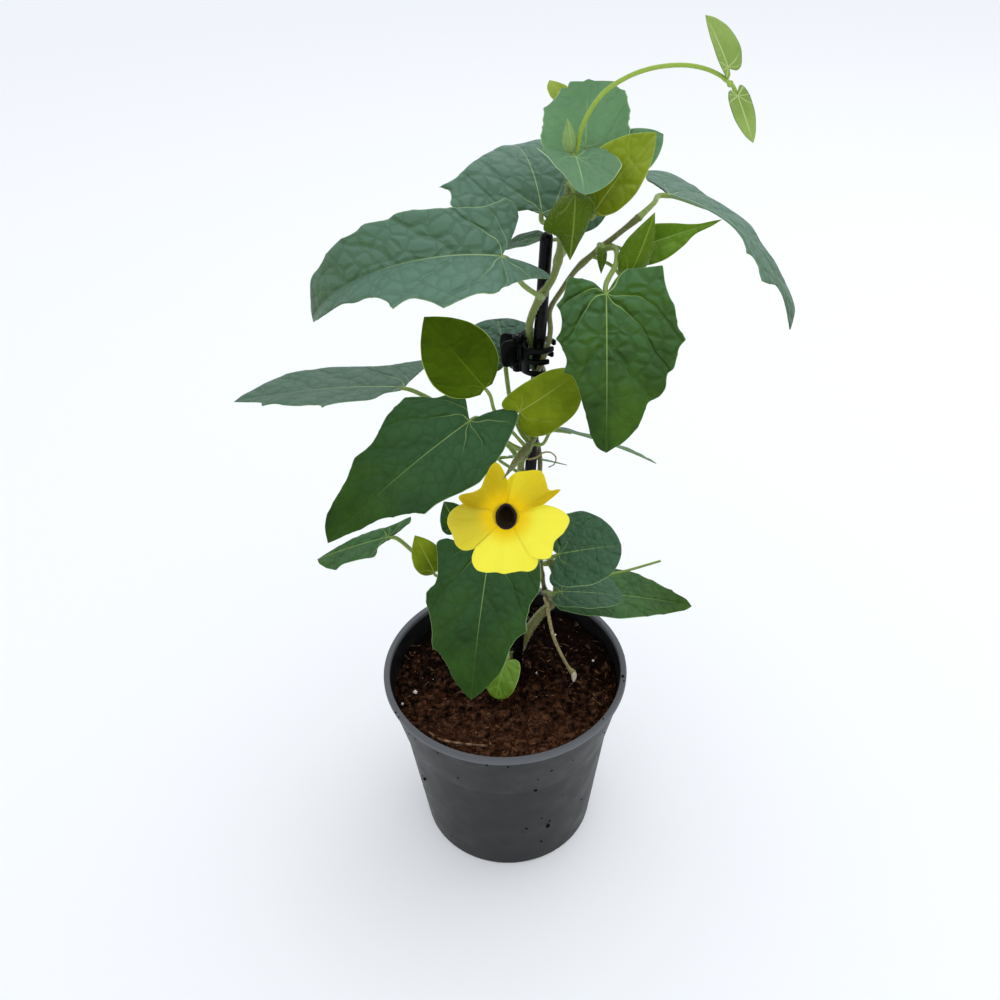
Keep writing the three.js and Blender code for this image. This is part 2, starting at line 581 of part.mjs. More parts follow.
function makeLeaf(leaf) {
  const frame = bladeFrame(leaf);
  const root = pointOnRoute(STEM_ROUTES[leaf.stem], leaf.height, frame.junction);
  const large = Math.max(...leaf.wide) > 15;
  const thick = large ? 1.0 : 0.75;
  const under = -0.3;
  const behind = frame.junction.clone().addScaledVector(frame.along, -3);
  behind.addScaledVector(frame.up, -1.2);
  const end = bladePoint(leaf, frame, large ? 0.14 : 0.08, 0).addScaledVector(frame.up, under);
  const seat = bladePoint(leaf, frame, 0.02, 0).addScaledVector(frame.up, under);
  const route = [root, ...leaf.via.map(vector), behind, seat, end];
  const petiole = rod(route, thick, { sides: large ? 5 : 4, steps: 5 + 2 * leaf.via.length });
  const cutter = STEM_CUTTERS[leaf.stem];
  return largest(petiole.add(makeBlade(leaf, frame)).subtract(cutter));
}

// ---------------------------------------------------------------- bloom
const flowerUp = new THREE.Vector3();
const flowerRight = new THREE.Vector3();
const flowerOut = vector(FLOWER_FACING).normalize();
flowerRight.crossVectors(new THREE.Vector3(0, 0, 1), flowerOut).normalize();
flowerUp.crossVectors(flowerOut, flowerRight);

function flowerPoint(radius, degrees, lift) {
  const turn = THREE.MathUtils.degToRad(degrees);
  const point = vector(FLOWER_CENTRE);
  point.addScaledVector(flowerRight, radius * Math.cos(turn));
  point.addScaledVector(flowerUp, radius * Math.sin(turn));
  return point.addScaledVector(flowerOut, lift);
}

// The five petals. foot is the middle of the petal at the throat in degrees, cup how far its rim
// comes forward, and edge its cut, wavy rim from side to side: degrees and distance from the middle.
const PETALS = [
  { foot: 54, cup: 1.5,
    edge: [[88, 14.5], [77, 18.2], [66, 20], [53, 22.8], [41, 21.2], [28, 23.6], [20, 15]] },
  { foot: 126, cup: 2.5,
    edge: [[164, 16], [155, 19.8], [140, 16], [127, 15.4], [113, 18.6], [98, 22], [85, 13.5]] },
  { foot: 195, cup: -0.5,
    edge: [[230, 16], [221, 21], [211, 23], [198, 22.3], [185, 23.2], [172, 20.8], [159, 15.5]] },
  { foot: 268, cup: -1.2,
    edge: [[313, 17.5], [299, 22.6], [285, 23.2], [270, 22.8], [253, 23.8], [238, 23.2], [226, 18]] },
  { foot: 340, cup: -0.8,
    edge: [[379, 13.5], [369, 20.2], [358, 24.6], [346, 23.6], [332, 21.4], [316, 23.5],
      [301, 18.5]] },
];
const PETAL_SIZE = 0.97;
const PETAL_FOOT_SPREAD = 76;       // degrees of the throat that a petal's foot takes up

function makePetal(petal) {
  const across = petal.edge.length - 1;
  const rows = 2;
  const corners = [];
  const triangles = [];
  for (let row = 0; row <= rows; row += 1) {
    for (let i = 0; i <= across; i += 1) {
      const part = row / rows;
      const side = (2 * i) / across - 1;
      const [rimDegrees, rimRadius] = petal.edge[i];
      const inner = THROAT_RADIUS - 0.4;
      const radius = inner + (PETAL_SIZE * rimRadius - inner) * part;
      const footDegrees = petal.foot - (side * PETAL_FOOT_SPREAD) / 2;
      const degrees = footDegrees + (rimDegrees - footDegrees) * Math.sqrt(part);
      const layer = 1.2 * side * part;
      const ripple = 0.6 * part * Math.cos(3 * Math.PI * side);
      const lift = petal.cup * part * part + layer + ripple - 0.6 * (1 - part);
      corners.push(flowerPoint(radius, degrees, lift));
    }
  }
  const width = across + 1;
  for (let row = 0; row < rows; row += 1) {
    for (let i = 0; i < across; i += 1) {
      const a = row * width + i;
      const b = a + width;
      triangles.push([a, b, a + 1], [b, b + 1, a + 1]);
    }
  }
  return sheetSolid(corners, triangles, PETAL_THICKNESS);
}

// The hollow tube behind the petals, widest just behind the throat.
function makeTube() {
  const wall = 0.9;
  const profile = [
    [0, -TUBE_LENGTH], [2.6, -TUBE_LENGTH], [3.4, -TUBE_LENGTH * 0.8], [4.6, -TUBE_LENGTH * 0.4],
    [5.1, -2], [THROAT_RADIUS + wall, 0], [THROAT_RADIUS, 0], [5.1 - wall, -2],
    [4.6 - wall, -TUBE_LENGTH * 0.4], [3.4 - wall, -TUBE_LENGTH * 0.8],
    [2.6 - wall, -TUBE_LENGTH + wall], [0, -TUBE_LENGTH + wall],
  ].map(([radius, height]) => new THREE.Vector2(radius, height));
  const tube = new THREE.LatheGeometry(profile, 12);
  tube.rotateX(Math.PI / 2);
  const place = new THREE.Matrix4().makeBasis(flowerRight, flowerUp, flowerOut);
  tube.applyMatrix4(place.setPosition(vector(FLOWER_CENTRE)));
  return solidFrom(tube);
}

function makeBloom() {
  return PETALS.reduce((bloom, petal) => bloom.add(makePetal(petal)), makeTube());
}

// ---------------------------------------------------------------- bracts and buds
// Two keeled bracts closed to a pointed pod: a lens in section, swelling and coming to a point.
function podSolid(foot, tip, halfWidth, halfDepth, keelDegrees) {
  const axis = tip.clone().sub(foot);
  const along = axis.clone().normalize();
  const level = Math.abs(along.z) > 0.95 ? new THREE.Vector3(0, 1, 0) : new THREE.Vector3(0, 0, 1);
  const side = new THREE.Vector3().crossVectors(level, along).normalize();
  side.applyAxisAngle(along, THREE.MathUtils.degToRad(keelDegrees));
  const depth = along.clone().cross(side);
  const section = [[1, 0], [0.62, 0.62], [0, 1], [-0.62, 0.62], [-1, 0], [-0.62, -0.62], [0, -1],
    [0.62, -0.62]];
  const swell = [[0.04, 0.3], [0.14, 0.75], [0.3, 1.0], [0.5, 0.93], [0.7, 0.62], [0.87, 0.28]];
  const corners = [foot.clone()];
  for (const [share, size] of swell) {
    for (const [wide, deep] of section) {
      const point = foot.clone().addScaledVector(axis, share);
      point.addScaledVector(side, wide * size * halfWidth);
      corners.push(point.addScaledVector(depth, deep * size * halfDepth));
    }
  }
  corners.push(tip.clone());
  const ring = section.length;
  const index = [];
  for (let i = 0; i < ring; i += 1) {
    const next = (i + 1) % ring;
    index.push(0, 1 + next, 1 + i);
    for (let level0 = 0; level0 + 1 < swell.length; level0 += 1) {
      const a = 1 + level0 * ring;
      const b = a + ring;
      index.push(a + i, a + next, b + next, a + i, b + next, b + i);
    }
    const top = 1 + (swell.length - 1) * ring;
    index.push(top + i, top + next, corners.length - 1);
  }
  const geometry = new THREE.BufferGeometry();
  geometry.setAttribute('position', new THREE.Float32BufferAttribute(
    corners.flatMap((corner) => corner.toArray()), 3));
  geometry.setIndex(index);
  return solidFrom(geometry);
}

// A bud on its stalk: where the stalk springs from, the pod's foot and tip, and its size.
const BUDS = [
  { name: 'bud_right', stem: 'side', height: 313.3, via: [[43, -8, 311.5]], foot: [46.5, -15.5, 309.8],
    tip: [56, -14, 333], halfWidth: 6, halfDepth: 3, keel: 90 },
  { name: 'bud_front', stem: 'main', height: 340, via: [[27, -9, 342]], foot: [28.5, -12, 340],
    tip: [27, -16, 317.5], halfWidth: 8.5, halfDepth: 4.5, keel: 0 },
  { name: 'bud_small', stem: 'side', height: 316, via: [[38, -6, 319]], foot: [39, -9.5, 320],
    tip: [38.5, -12.5, 310.5], halfWidth: 1.8, halfDepth: 1.6, keel: 0 },
  { name: 'bud_apex', stem: 'main', height: 347.5, via: [], foot: [27.3, -5.3, 352.6],
    tip: [26.6, -7, 362.9], halfWidth: 2.2, halfDepth: 1.4, keel: 20 },
];

function makeBud(bud) {
  const foot = vector(bud.foot);
  const inside = foot.clone().lerp(vector(bud.tip), 0.1);
  const root = pointOnRoute(STEM_ROUTES[bud.stem], bud.height, foot);
  const route = [root, ...bud.via.map(vector), foot, inside];
  const stalk = rod(route, 0.7, { sides: 5, steps: 3 + 3 * bud.via.length });
  const pod = podSolid(foot, vector(bud.tip), bud.halfWidth, bud.halfDepth, bud.keel);
  return largest(stalk.add(pod).subtract(STEM_CUTTERS[bud.stem]));
}

// The two bracts that clasp the bloom's tube stand on the bloom's stalk.
function makeFlowerBracts() {
  const foot = flowerPoint(0, 0, -TUBE_LENGTH - 3);
  const stalk = rod([
    pointOnRoute(sideRoute, 201, foot), new THREE.Vector3(9, -11, 206),
    foot.clone().addScaledVector(flowerOut, -2.5), foot,
    foot.clone().addScaledVector(flowerOut, 1.2),
  ], 0.9, { sides: 6, steps: 10 });
  const cup = [];
  for (const side of [1, -1]) {
    const corners = [];
    const triangles = [];
    const rows = [0, 0.25, 0.5, 0.75, 1];
    const arc = [-80, -40, 0, 40, 80];
    const radii = [1.6, 5, 6.3, 6.4, 6.0];
    const width = [1, 1, 0.92, 0.6, 0.04];
    rows.forEach((share, row) => {
      arc.forEach((degrees) => {
        const turn = 90 + side * 90 + degrees * width[row];
        corners.push(flowerPoint(radii[row], turn, -TUBE_LENGTH - 2.6 + share * 16));
      });
    });
    for (let row = 0; row + 1 < rows.length; row += 1) {
      for (let i = 0; i + 1 < arc.length; i += 1) {
        const a = row * arc.length + i;
        const b = a + arc.length;
        triangles.push([a, a + 1, b], [b, a + 1, b + 1]);
      }
    }
    cup.push(sheetSolid(corners, triangles, 0.7));
  }
  const collar = new THREE.CylinderGeometry(2.2, 1.4, 1.6, 8);
  collar.rotateX(Math.PI / 2);
  const place = new THREE.Matrix4().makeBasis(flowerRight, flowerUp, flowerOut);
  collar.applyMatrix4(place.setPosition(flowerPoint(0, 0, -TUBE_LENGTH - 2.3)));
  const whole = cup.reduce((sum, bract) => sum.add(bract), stalk.add(solidFrom(collar)));
  return largest(whole.subtract(sideCutter));
}

// ---------------------------------------------------------------- clip
// A plate bent round the cane, seen from above: inner radius, outer radius, first and last degree.
function arcPlate(inner, outer, fromDegrees, toDegrees, low, high) {
  const shape = new THREE.Shape();
  const from = THREE.MathUtils.degToRad(fromDegrees);
  const to = THREE.MathUtils.degToRad(toDegrees);
  shape.absarc(0, 0, outer, from, to, false);
  shape.absarc(0, 0, inner, to, from, true);
  shape.closePath();
  const plate = new THREE.ExtrudeGeometry(shape, {
    depth: high - low,
    bevelEnabled: false,
    curveSegments: Math.max(2, Math.round((toDegrees - fromDegrees) / 24)),
  });
  plate.translate(CLIP_CENTRE_X, 0, low);
  return solidFrom(plate);
}

const PIN_RADIUS = 0.7;
const KNUCKLE_RADIUS = 1.9;
const KNUCKLE_BORE = 1.05;
const clipLow = CLIP_HEIGHT;
const clipHigh = CLIP_HEIGHT + CLIP_TALL;
// Heights of the knuckles on the pin, from the bottom: back, front, spring, front, back.
const KNUCKLES = [0, 2.2, 2.6, 4.6, 10.4, 12.4, 12.8, 15].map((height) => clipLow + height);

function cylinder(x, y, radius, low, high, sides) {
  const round = new THREE.CylinderGeometry(radius, radius, high - low, sides);
  round.rotateX(Math.PI / 2);
  round.translate(x, y, (low + high) / 2);
  return solidFrom(round);
}

function box(centre, size, degrees) {
  const block = new THREE.BoxGeometry(...size);
  block.rotateZ(THREE.MathUtils.degToRad(degrees));
  block.translate(...centre);
  return solidFrom(block);
}

// One jaw. side is -1 for the jaw in front of the cane and 1 for the one behind it.
function makeJaw(side, knuckles, fingers) {
  const inner = CLIP_BORE;
  const outer = CLIP_BORE + CLIP_WALL;
  const mirror = (from, to) => (side > 0 ? [360 - to, 360 - from] : [from, to]);
  const spine = mirror(190, 232);
  const high = knuckles[knuckles.length - 1][1];
  const low = Math.min(knuckles[0][0], fingers[0][1]);
  let jaw = arcPlate(inner, outer, ...spine, low, high);
  for (const [end, fingerLow, fingerHigh] of fingers) {
    jaw = jaw.add(arcPlate(inner, outer, ...mirror(210, end), fingerLow, fingerHigh));
  }
  const padTurn = side * -27;
  const padX = CLIP_PIN_X - 3.3;
  const padY = side * 3.1;
  jaw = jaw.add(box([padX, padY, clipLow + 9], [7, 1.5, 11], padTurn));
  jaw = jaw.add(box([CLIP_PIN_X + 0.9, side * 1.7, (low + high) / 2], [3.6, 1.3, high - low],
    side * 12));
  for (const [from, to] of knuckles) {
    jaw = jaw.add(cylinder(CLIP_PIN_X, 0, KNUCKLE_RADIUS, from, to, 10));
  }
  const [lowest, highest] = [clipLow - 1, clipHigh + 1];
  jaw = jaw.subtract(cylinder(CLIP_PIN_X, 0, KNUCKLE_BORE, lowest, highest, 10));
  // room for the other jaw's knuckles and for the spring between them
  const own = knuckles.flat();
  for (let i = 0; i + 1 < KNUCKLES.length; i += 1) {
    const [from, to] = [KNUCKLES[i], KNUCKLES[i + 1]];
    const taken = knuckles.some(([start, stop]) => from >= start && to <= stop);
    if (!taken) {
      jaw = jaw.subtract(cylinder(CLIP_PIN_X, 0, KNUCKLE_RADIUS + 0.4, from, to, 10));
    }
  }
  return { jaw: largest(jaw), own };
}

function makeSpring() {
  const turns = 4;
  const coilRadius = 1.45;
  const [low, high] = [KNUCKLES[3] + 0.7, KNUCKLES[4] - 0.7];
  const points = [];
  const perTurn = 7;
  for (let i = 0; i <= turns * perTurn; i += 1) {
    const turn = (2 * Math.PI * i) / perTurn;
    points.push(new THREE.Vector3(
      CLIP_PIN_X + coilRadius * Math.cos(turn),
      coilRadius * Math.sin(turn),
      low + ((high - low) * i) / (turns * perTurn),
    ));
  }
  return rod(points, 0.28, { sides: 4, steps: turns * perTurn });
}

// ---------------------------------------------------------------- the vine
addNode('pot', makePot(), POT_PLASTIC);
addNode('soil', makeSoil(), SOIL);
addNode('cane', makeStick(), BLACK_PLASTIC);
addNode('stem_main', stemRod.main(0).add(stemRod.base(0)), GREEN_STEM);
addNode('stem_side', largest(stemRod.side(0).subtract(mainCutter)), BROWN_STEM);
addNode('shoot_arching', largest(stemRod.shoot(0).subtract(mainCutter)), YOUNG_STEM);
const stalkEnd = new THREE.SphereGeometry(1.5, 8, 6);
stalkEnd.translate(...STALK_ROUTE[STALK_ROUTE.length - 1]);
addNode('stalk_dry', largest(rod(stalkRoute, STALK_RADIUS, { steps: 14 })
  .add(solidFrom(stalkEnd)).subtract(mainCutter).subtract(sideCutter)), DRY_STEM);
addNode('stalk_thin', largest(rod(THIN_STALK_ROUTE.map(vector), 0.8, { sides: 5, steps: 8 })
  .subtract(mainCutter)), DRY_STEM);
addNode('tendril', largest(rod(TENDRIL_ROUTE.map(vector), TENDRIL_RADIUS, { sides: 5, steps: 16 })
  .subtract(mainCutter)), BROWN_STEM);

for (const leaf of LEAVES) addNode(leaf.name, makeLeaf(leaf), leaf.color);

addNode('bloom', makeBloom(), PETAL_YELLOW);
addNode('bloom_bracts', makeFlowerBracts(), BRACT_GREEN);
for (const bud of BUDS) addNode(bud.name, makeBud(bud), BRACT_GREEN);

const backKnuckles = [[KNUCKLES[0], KNUCKLES[1]], [KNUCKLES[6], KNUCKLES[7]]];
const frontKnuckles = [[KNUCKLES[2], KNUCKLES[3]], [KNUCKLES[4], KNUCKLES[5]]];
const backFingers = [[330, clipLow + 3.2, clipLow + 5.4], [342, clipLow + 9, clipLow + 11.2]];
const frontFingers = [[292, clipLow + 0.6, clipLow + 2.6], [304, clipLow + 5.6, clipLow + 7.6],
  [322, clipLow + 10.4, clipLow + 12.4]];
addNode('clip_back_jaw', makeJaw(1, backKnuckles, backFingers).jaw, BLACK_PLASTIC);
addNode('clip_front_jaw', makeJaw(-1, frontKnuckles, frontFingers).jaw, BLACK_PLASTIC);
addNode('clip_pin', cylinder(CLIP_PIN_X, 0, PIN_RADIUS, clipLow - 0.3, clipHigh + 0.3, 10),
  SPRING_WIRE);
addNode('clip_spring', makeSpring(), SPRING_WIRE);

export default vine;
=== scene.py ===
import math

import bmesh
import bpy
import numpy as np
from mathutils import Matrix, Vector


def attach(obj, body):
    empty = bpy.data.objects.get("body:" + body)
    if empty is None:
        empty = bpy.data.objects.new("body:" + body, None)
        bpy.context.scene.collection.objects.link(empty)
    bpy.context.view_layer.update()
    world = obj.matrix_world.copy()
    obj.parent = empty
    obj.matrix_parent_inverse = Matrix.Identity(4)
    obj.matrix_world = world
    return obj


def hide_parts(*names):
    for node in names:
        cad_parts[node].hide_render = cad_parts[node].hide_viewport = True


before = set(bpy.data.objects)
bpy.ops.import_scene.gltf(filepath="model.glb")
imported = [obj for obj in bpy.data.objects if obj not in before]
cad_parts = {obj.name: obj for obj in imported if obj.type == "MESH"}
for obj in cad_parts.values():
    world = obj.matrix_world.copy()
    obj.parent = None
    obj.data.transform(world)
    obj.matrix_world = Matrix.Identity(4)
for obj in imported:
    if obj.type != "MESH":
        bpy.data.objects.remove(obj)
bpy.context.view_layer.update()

# ---------------------------------------------------------------- nursery pot
# A thin pot of dark grey polypropylene, injection moulded in one shot, with a beaded rim, a
# shoulder where stacked pots rest in each other, and drain holes in a raised ring of the base.
POT_HEIGHT = 102
RIM_RADIUS = 60
SHOULDER_RADIUS = 52.8
SHOULDER_HEIGHT = 70
FOOT_RADIUS = 44.5
POT_WALL = 1.6
POT_FLOOR = 2
DRAIN_RING = (15, 35)
DRAIN_RISE = 3
DRAIN_SLOPE = 4
DRAIN_HOLE_RADIUS = 2.7
DRAIN_HOLES = 8
POT_TURN_STEPS = 144


def linear(hex_colour):
    """An sRGB hex colour as the linear values that the shaders take."""
    channels = [int(hex_colour[i:i + 2], 16) / 255 for i in (1, 3, 5)]
    straight = [c / 12.92 if c <= 0.04045 else ((c + 0.055) / 1.055) ** 2.4 for c in channels]
    return (*straight, 1.0)


def join(node, links):
    """Gives inputs of the node a value, a hex colour, a socket, or the output that another
    node has in use."""
    for socket, value in links.items():
        if isinstance(value, bpy.types.Node):
            value = next(output for output in value.outputs if output.enabled)
        if isinstance(value, bpy.types.NodeSocket):
            node.id_data.links.new(value, node.inputs[socket])
        else:
            value = linear(value) if isinstance(value, str) else value
            node.inputs[socket].default_value = value


def add(tree, kind, links=(), **settings):
    """One node with its settings; links as for join."""
    node = tree.nodes.new(kind)
    for name, value in settings.items():
        setattr(node, name, value)
    join(node, dict(links))
    return node


def new_finish(name, constants):
    """A material, its tree, its shader with these constants, and the point in millimetres."""
    finish = bpy.data.materials.new(name)
    finish.use_nodes = True
    tree = finish.node_tree
    shader = tree.nodes["Principled BSDF"]
    join(shader, constants)
    place = add(tree, "ShaderNodeTexCoord").outputs["Object"]
    millimetres = add(tree, "ShaderNodeVectorMath", {0: place, 1: (1000, 1000, 1000)},
                      operation="MULTIPLY")
    return finish, tree, shader, millimetres


def mottle(shader, place, dark, light, scale, detail, low=0.0, high=1.0):
    """Lets the colour drift between two tones: a noise, and where in it the drift starts and
    ends. Gives the noise and the tone for other nodes to read."""
    tree = shader.id_data
    drift = add(tree, "ShaderNodeTexNoise", {"Vector": place, "Scale": scale, "Detail": detail})
    share = add(tree, "ShaderNodeMapRange", {0: drift, 1: low, 2: high})
    tone = add(tree, "ShaderNodeMix", {0: share, 6: dark, 7: light}, data_type="RGBA")
    join(shader, {"Base Color": tone})
    return drift, tone


def mottled_finish(name, constants, *mottling):
    """A finish that only drifts between two tones."""
    finish, tree, shader, millimetres = new_finish(name, constants)
    mottle(shader, millimetres, *mottling)
    return finish


def piece_from(name, parts, finishes, nodes=(), body="plant", crease=40):
    """One piece in the row frame from (points in mm, faces, finish numbers, uv) parts."""
    points, faces, finish_of_face, uvs = [], [], [], []
    for part_points, part_faces, finish_number, part_uv in parts:
        start = len(points)
        points.extend((float(x) / 1000, float(y) / 1000, float(z) / 1000)
                      for x, y, z in part_points)
        faces.extend([start + corner for corner in face] for face in part_faces)
        if isinstance(finish_number, int):
            finish_number = [finish_number] * len(part_faces)
        finish_of_face.extend(finish_number)
        if part_uv is None:
            part_uv = [(0.0, 0.0)] * len(part_points)
        uvs.extend((float(u), float(v)) for u, v in part_uv)
    mesh = bpy.data.meshes.new(name)
    mesh.from_pydata(points, [], faces)
    mesh.polygons.foreach_set("material_index", finish_of_face)
    layer = mesh.uv_layers.new(name="blade_mm")
    corners = np.zeros(len(mesh.loops), np.int32)
    mesh.loops.foreach_get("vertex_index", corners)
    layer.data.foreach_set("uv", np.array(uvs, np.float32)[corners].ravel())
    for finish in finishes:
        mesh.materials.append(finish)
    work = bmesh.new()
    work.from_mesh(mesh)
    bmesh.ops.remove_doubles(work, verts=work.verts, dist=2e-6)
    bmesh.ops.dissolve_degenerate(work, edges=work.edges, dist=1e-7)
    bmesh.ops.recalc_face_normals(work, faces=work.faces)
    work.to_mesh(mesh)
    work.free()
    mesh.polygons.foreach_set("use_smooth", [True] * len(mesh.polygons))
    mesh.set_sharp_from_angle(angle=math.radians(crease))
    piece = bpy.data.objects.new(name, mesh)
    bpy.context.scene.collection.objects.link(piece)
    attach(piece, body)
    if nodes:
        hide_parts(*nodes)
    return piece


def ring_faces(rings, around):
    """Faces of a closed tube whose points run ring by ring."""
    faces = []
    for start in range(0, (rings - 1) * around, around):
        for i in range(around):
            a, b = start + i, start + (i + 1) % around
            faces.append([a, b, b + around, a + around])
    last = (rings - 1) * around
    return faces + [list(range(around)), list(range(last, last + around))]


def turned(profile, steps):
    """A closed profile of (radius, height) turned about the upright axis."""
    points, faces = [], []
    for i in range(steps):
        turn = 2 * math.pi * i / steps
        points.extend((r * math.cos(turn), r * math.sin(turn), z) for r, z in profile)
    count = len(profile)
    for i in range(steps):
        here, there = i * count, ((i + 1) % steps) * count
        for j in range(count):
            k = (j + 1) % count
            if profile[j][0] == 0 and profile[k][0] == 0:
                continue
            faces.append([here + j, there + j, there + k, here + k])
    return points, faces, 0, None


def settle(piece):
    """Works the modifiers of a piece into its mesh."""
    bpy.context.view_layer.update()
    shown = piece.evaluated_get(bpy.context.evaluated_depsgraph_get())
    mesh = bpy.data.meshes.new_from_object(shown)
    piece.modifiers.clear()
    piece.data = mesh


# Moulded polypropylene: a satin skin that spreads highlights, finely grained by the mould, with
# paler scuffs and a film of dried water and soil dust.
moulded_polypropylene, tree, shader, millimetres = new_finish(
    "moulded_polypropylene", {"Specular IOR Level": 0.28})
dust, skin = mottle(shader, millimetres, "#0d0d0e", "#181819", 0.09, 6.0, 0.42, 0.72)
# the bead is painted paler than the wall: a painted highlight along the rim
height_mm = add(tree, "ShaderNodeSeparateXYZ", {0: millimetres}).outputs["Z"]
bead = add(tree, "ShaderNodeMapRange", {0: height_mm, 1: POT_HEIGHT - 3.4, 2: POT_HEIGHT - 2.4})
bead_highlight = add(tree, "ShaderNodeMix", {0: bead, 6: skin, 7: "#5c5e62"}, data_type="RGBA")
gloss = add(tree, "ShaderNodeMapRange", {0: dust, 1: 0.3, 2: 0.8, 3: 0.42, 4: 0.58})
grain = add(tree, "ShaderNodeTexNoise", {"Vector": millimetres, "Scale": 2.6, "Detail": 3.0})
mould_grain = add(tree, "ShaderNodeBump", {"Height": grain, "Strength": 0.25, "Distance": 0.0001})
join(shader, {"Base Color": bead_highlight, "Roughness": gloss, "Normal": mould_grain})

wall_top = RIM_RADIUS - 1.2
bead_foot = POT_HEIGHT - 3
ring_in, ring_out = DRAIN_RING
pot_profile = [
    (0, 0), (ring_in, 0), (ring_in + DRAIN_SLOPE, DRAIN_RISE), (ring_out, DRAIN_RISE),
    (ring_out + DRAIN_SLOPE, 0), (FOOT_RADIUS - 1.5, 0), (FOOT_RADIUS - 0.7, 0.3),
    (FOOT_RADIUS - 0.2, 1.0), (FOOT_RADIUS, 2.2), (SHOULDER_RADIUS - 0.75, SHOULDER_HEIGHT - 2),
    (SHOULDER_RADIUS - 0.35, SHOULDER_HEIGHT - 0.5), (SHOULDER_RADIUS, SHOULDER_HEIGHT + 0.4),
    (wall_top - 0.1, bead_foot - 0.6), (wall_top + 0.1, bead_foot), (wall_top + 0.9, bead_foot + 0.2),
    (RIM_RADIUS, bead_foot + 0.9), (RIM_RADIUS, POT_HEIGHT - 0.9),
    (RIM_RADIUS - 0.3, POT_HEIGHT - 0.25), (RIM_RADIUS - 0.9, POT_HEIGHT),
    (RIM_RADIUS - 2.2, POT_HEIGHT), (RIM_RADIUS - 2.8, POT_HEIGHT - 0.3),
    (RIM_RADIUS - 3.0, POT_HEIGHT - 1), (wall_top - POT_WALL, bead_foot),
    (SHOULDER_RADIUS - POT_WALL, SHOULDER_HEIGHT), (FOOT_RADIUS - POT_WALL, POT_FLOOR + 2),
    (FOOT_RADIUS - POT_WALL - 2, POT_FLOOR), (ring_out + DRAIN_SLOPE + 0.8, POT_FLOOR),
    (ring_out + 0.8, POT_FLOOR + DRAIN_RISE), (ring_in + DRAIN_SLOPE - 0.8, POT_FLOOR + DRAIN_RISE),
    (ring_in - 0.8, POT_FLOOR), (0, POT_FLOOR),
]
pot = piece_from("nursery_pot", [turned(pot_profile, POT_TURN_STEPS)], [moulded_polypropylene],
                 nodes=["pot"], crease=55)
drill_parts = []
drill_sides, drill_reach = 24, (-3, 9)
ring_middle = (ring_in + ring_out + DRAIN_SLOPE) / 2
for turn in 2 * np.pi * (np.arange(DRAIN_HOLES) + 0.5) / DRAIN_HOLES:
    x, y = ring_middle * math.cos(turn), ring_middle * math.sin(turn)
    points = [(x + DRAIN_HOLE_RADIUS * math.cos(a), y + DRAIN_HOLE_RADIUS * math.sin(a), z)
              for z in drill_reach for a in np.linspace(0, 2 * math.pi, drill_sides, endpoint=False)]
    drill_parts.append((points, ring_faces(2, drill_sides), 0, None))
drill = piece_from("drain_drill", drill_parts, [moulded_polypropylene])
cut = pot.modifiers.new("drain holes", "BOOLEAN")
cut.operation = "DIFFERENCE"
cut.object = drill
settle(pot)
bpy.data.objects.remove(drill)

# ---------------------------------------------------------------- compost
# Peat and coir compost with a little perlite, pressed in by hand to a finger's width under the
# rim. It is crumbly, matt and nearly black where it is damp, red-brown where it has dried.
SOIL_TOP = 91
SOIL_BUMP = 1.8
FULL_TURN = 6.28
SOIL_RADIUS = SHOULDER_RADIUS + (SOIL_TOP - SHOULDER_HEIGHT) * 6 / 29 - POT_WALL - 0.3


def soil_height(x, y):
    """Height of the pressed surface, higher at the back right."""
    swell = 0.035 * x + 0.04 * y
    crumb = np.sin(0.21 * x + 1.3) * np.cos(0.17 * y + 0.4) + 0.5 * np.sin(0.43 * (x - y))
    return SOIL_TOP + 0.6 * swell + SOIL_BUMP * 0.6 * crumb


def soil_part():
    """The block of compost: a fine lumpy top and plain sides down to the pot's floor."""
    rings, sectors = 64, 200
    random = np.random.default_rng(4)
    points, faces = [(0.0, 0.0, float(soil_height(0, 0)))], []
    for ring in range(1, rings + 1):
        radius = SOIL_RADIUS * ring / rings
        turn = 2 * np.pi * np.arange(sectors) / sectors
        x, y = radius * np.cos(turn), radius * np.sin(turn)
        z = soil_height(x, y) + random.normal(0, 0.22, sectors)
        z += 0.5 * np.sin(0.9 * x + 2 * np.sin(0.6 * y)) * np.sin(0.8 * y + 1.5 * np.sin(0.5 * x))
        z -= 1.2 * (ring / rings) ** 16
        points.extend(zip(x, y, z))
    lower = [(SHOULDER_RADIUS - POT_WALL - 1.2, SHOULDER_HEIGHT), (FOOT_RADIUS - POT_WALL - 1.2, 8),
             (FOOT_RADIUS - POT_WALL - 4, 5.5)]
    for radius, height in lower:
        turn = 2 * np.pi * np.arange(sectors) / sectors
        points.extend((radius * math.cos(t), radius * math.sin(t), height) for t in turn)
    bottom = len(points)
    points.append((0.0, 0.0, 5.5))
    for i in range(sectors):
        after = (i + 1) % sectors
        faces.append([0, 1 + i, 1 + after])
        for ring in range(rings + len(lower) - 1):
            a, b = 1 + ring * sectors + i, 1 + ring * sectors + after
            faces.append([a, a + sectors, b + sectors, b])
        last = 1 + (rings + len(lower) - 1) * sectors
        faces.append([last + i, bottom, last + after])
    return points, faces, 0, None


# Damp peat: rough and unshining, its colour broken from crumb to crumb.
damp_peat, tree, shader, millimetres = new_finish(
    "damp_peat", {"Roughness": 0.92, "Specular IOR Level": 0.04})
patch = add(tree, "ShaderNodeTexNoise", {"Vector": millimetres, "Scale": 0.06, "Detail": 4.0})
speck = add(tree, "ShaderNodeTexNoise", {"Vector": millimetres, "Scale": 1.1, "Detail": 5.0})
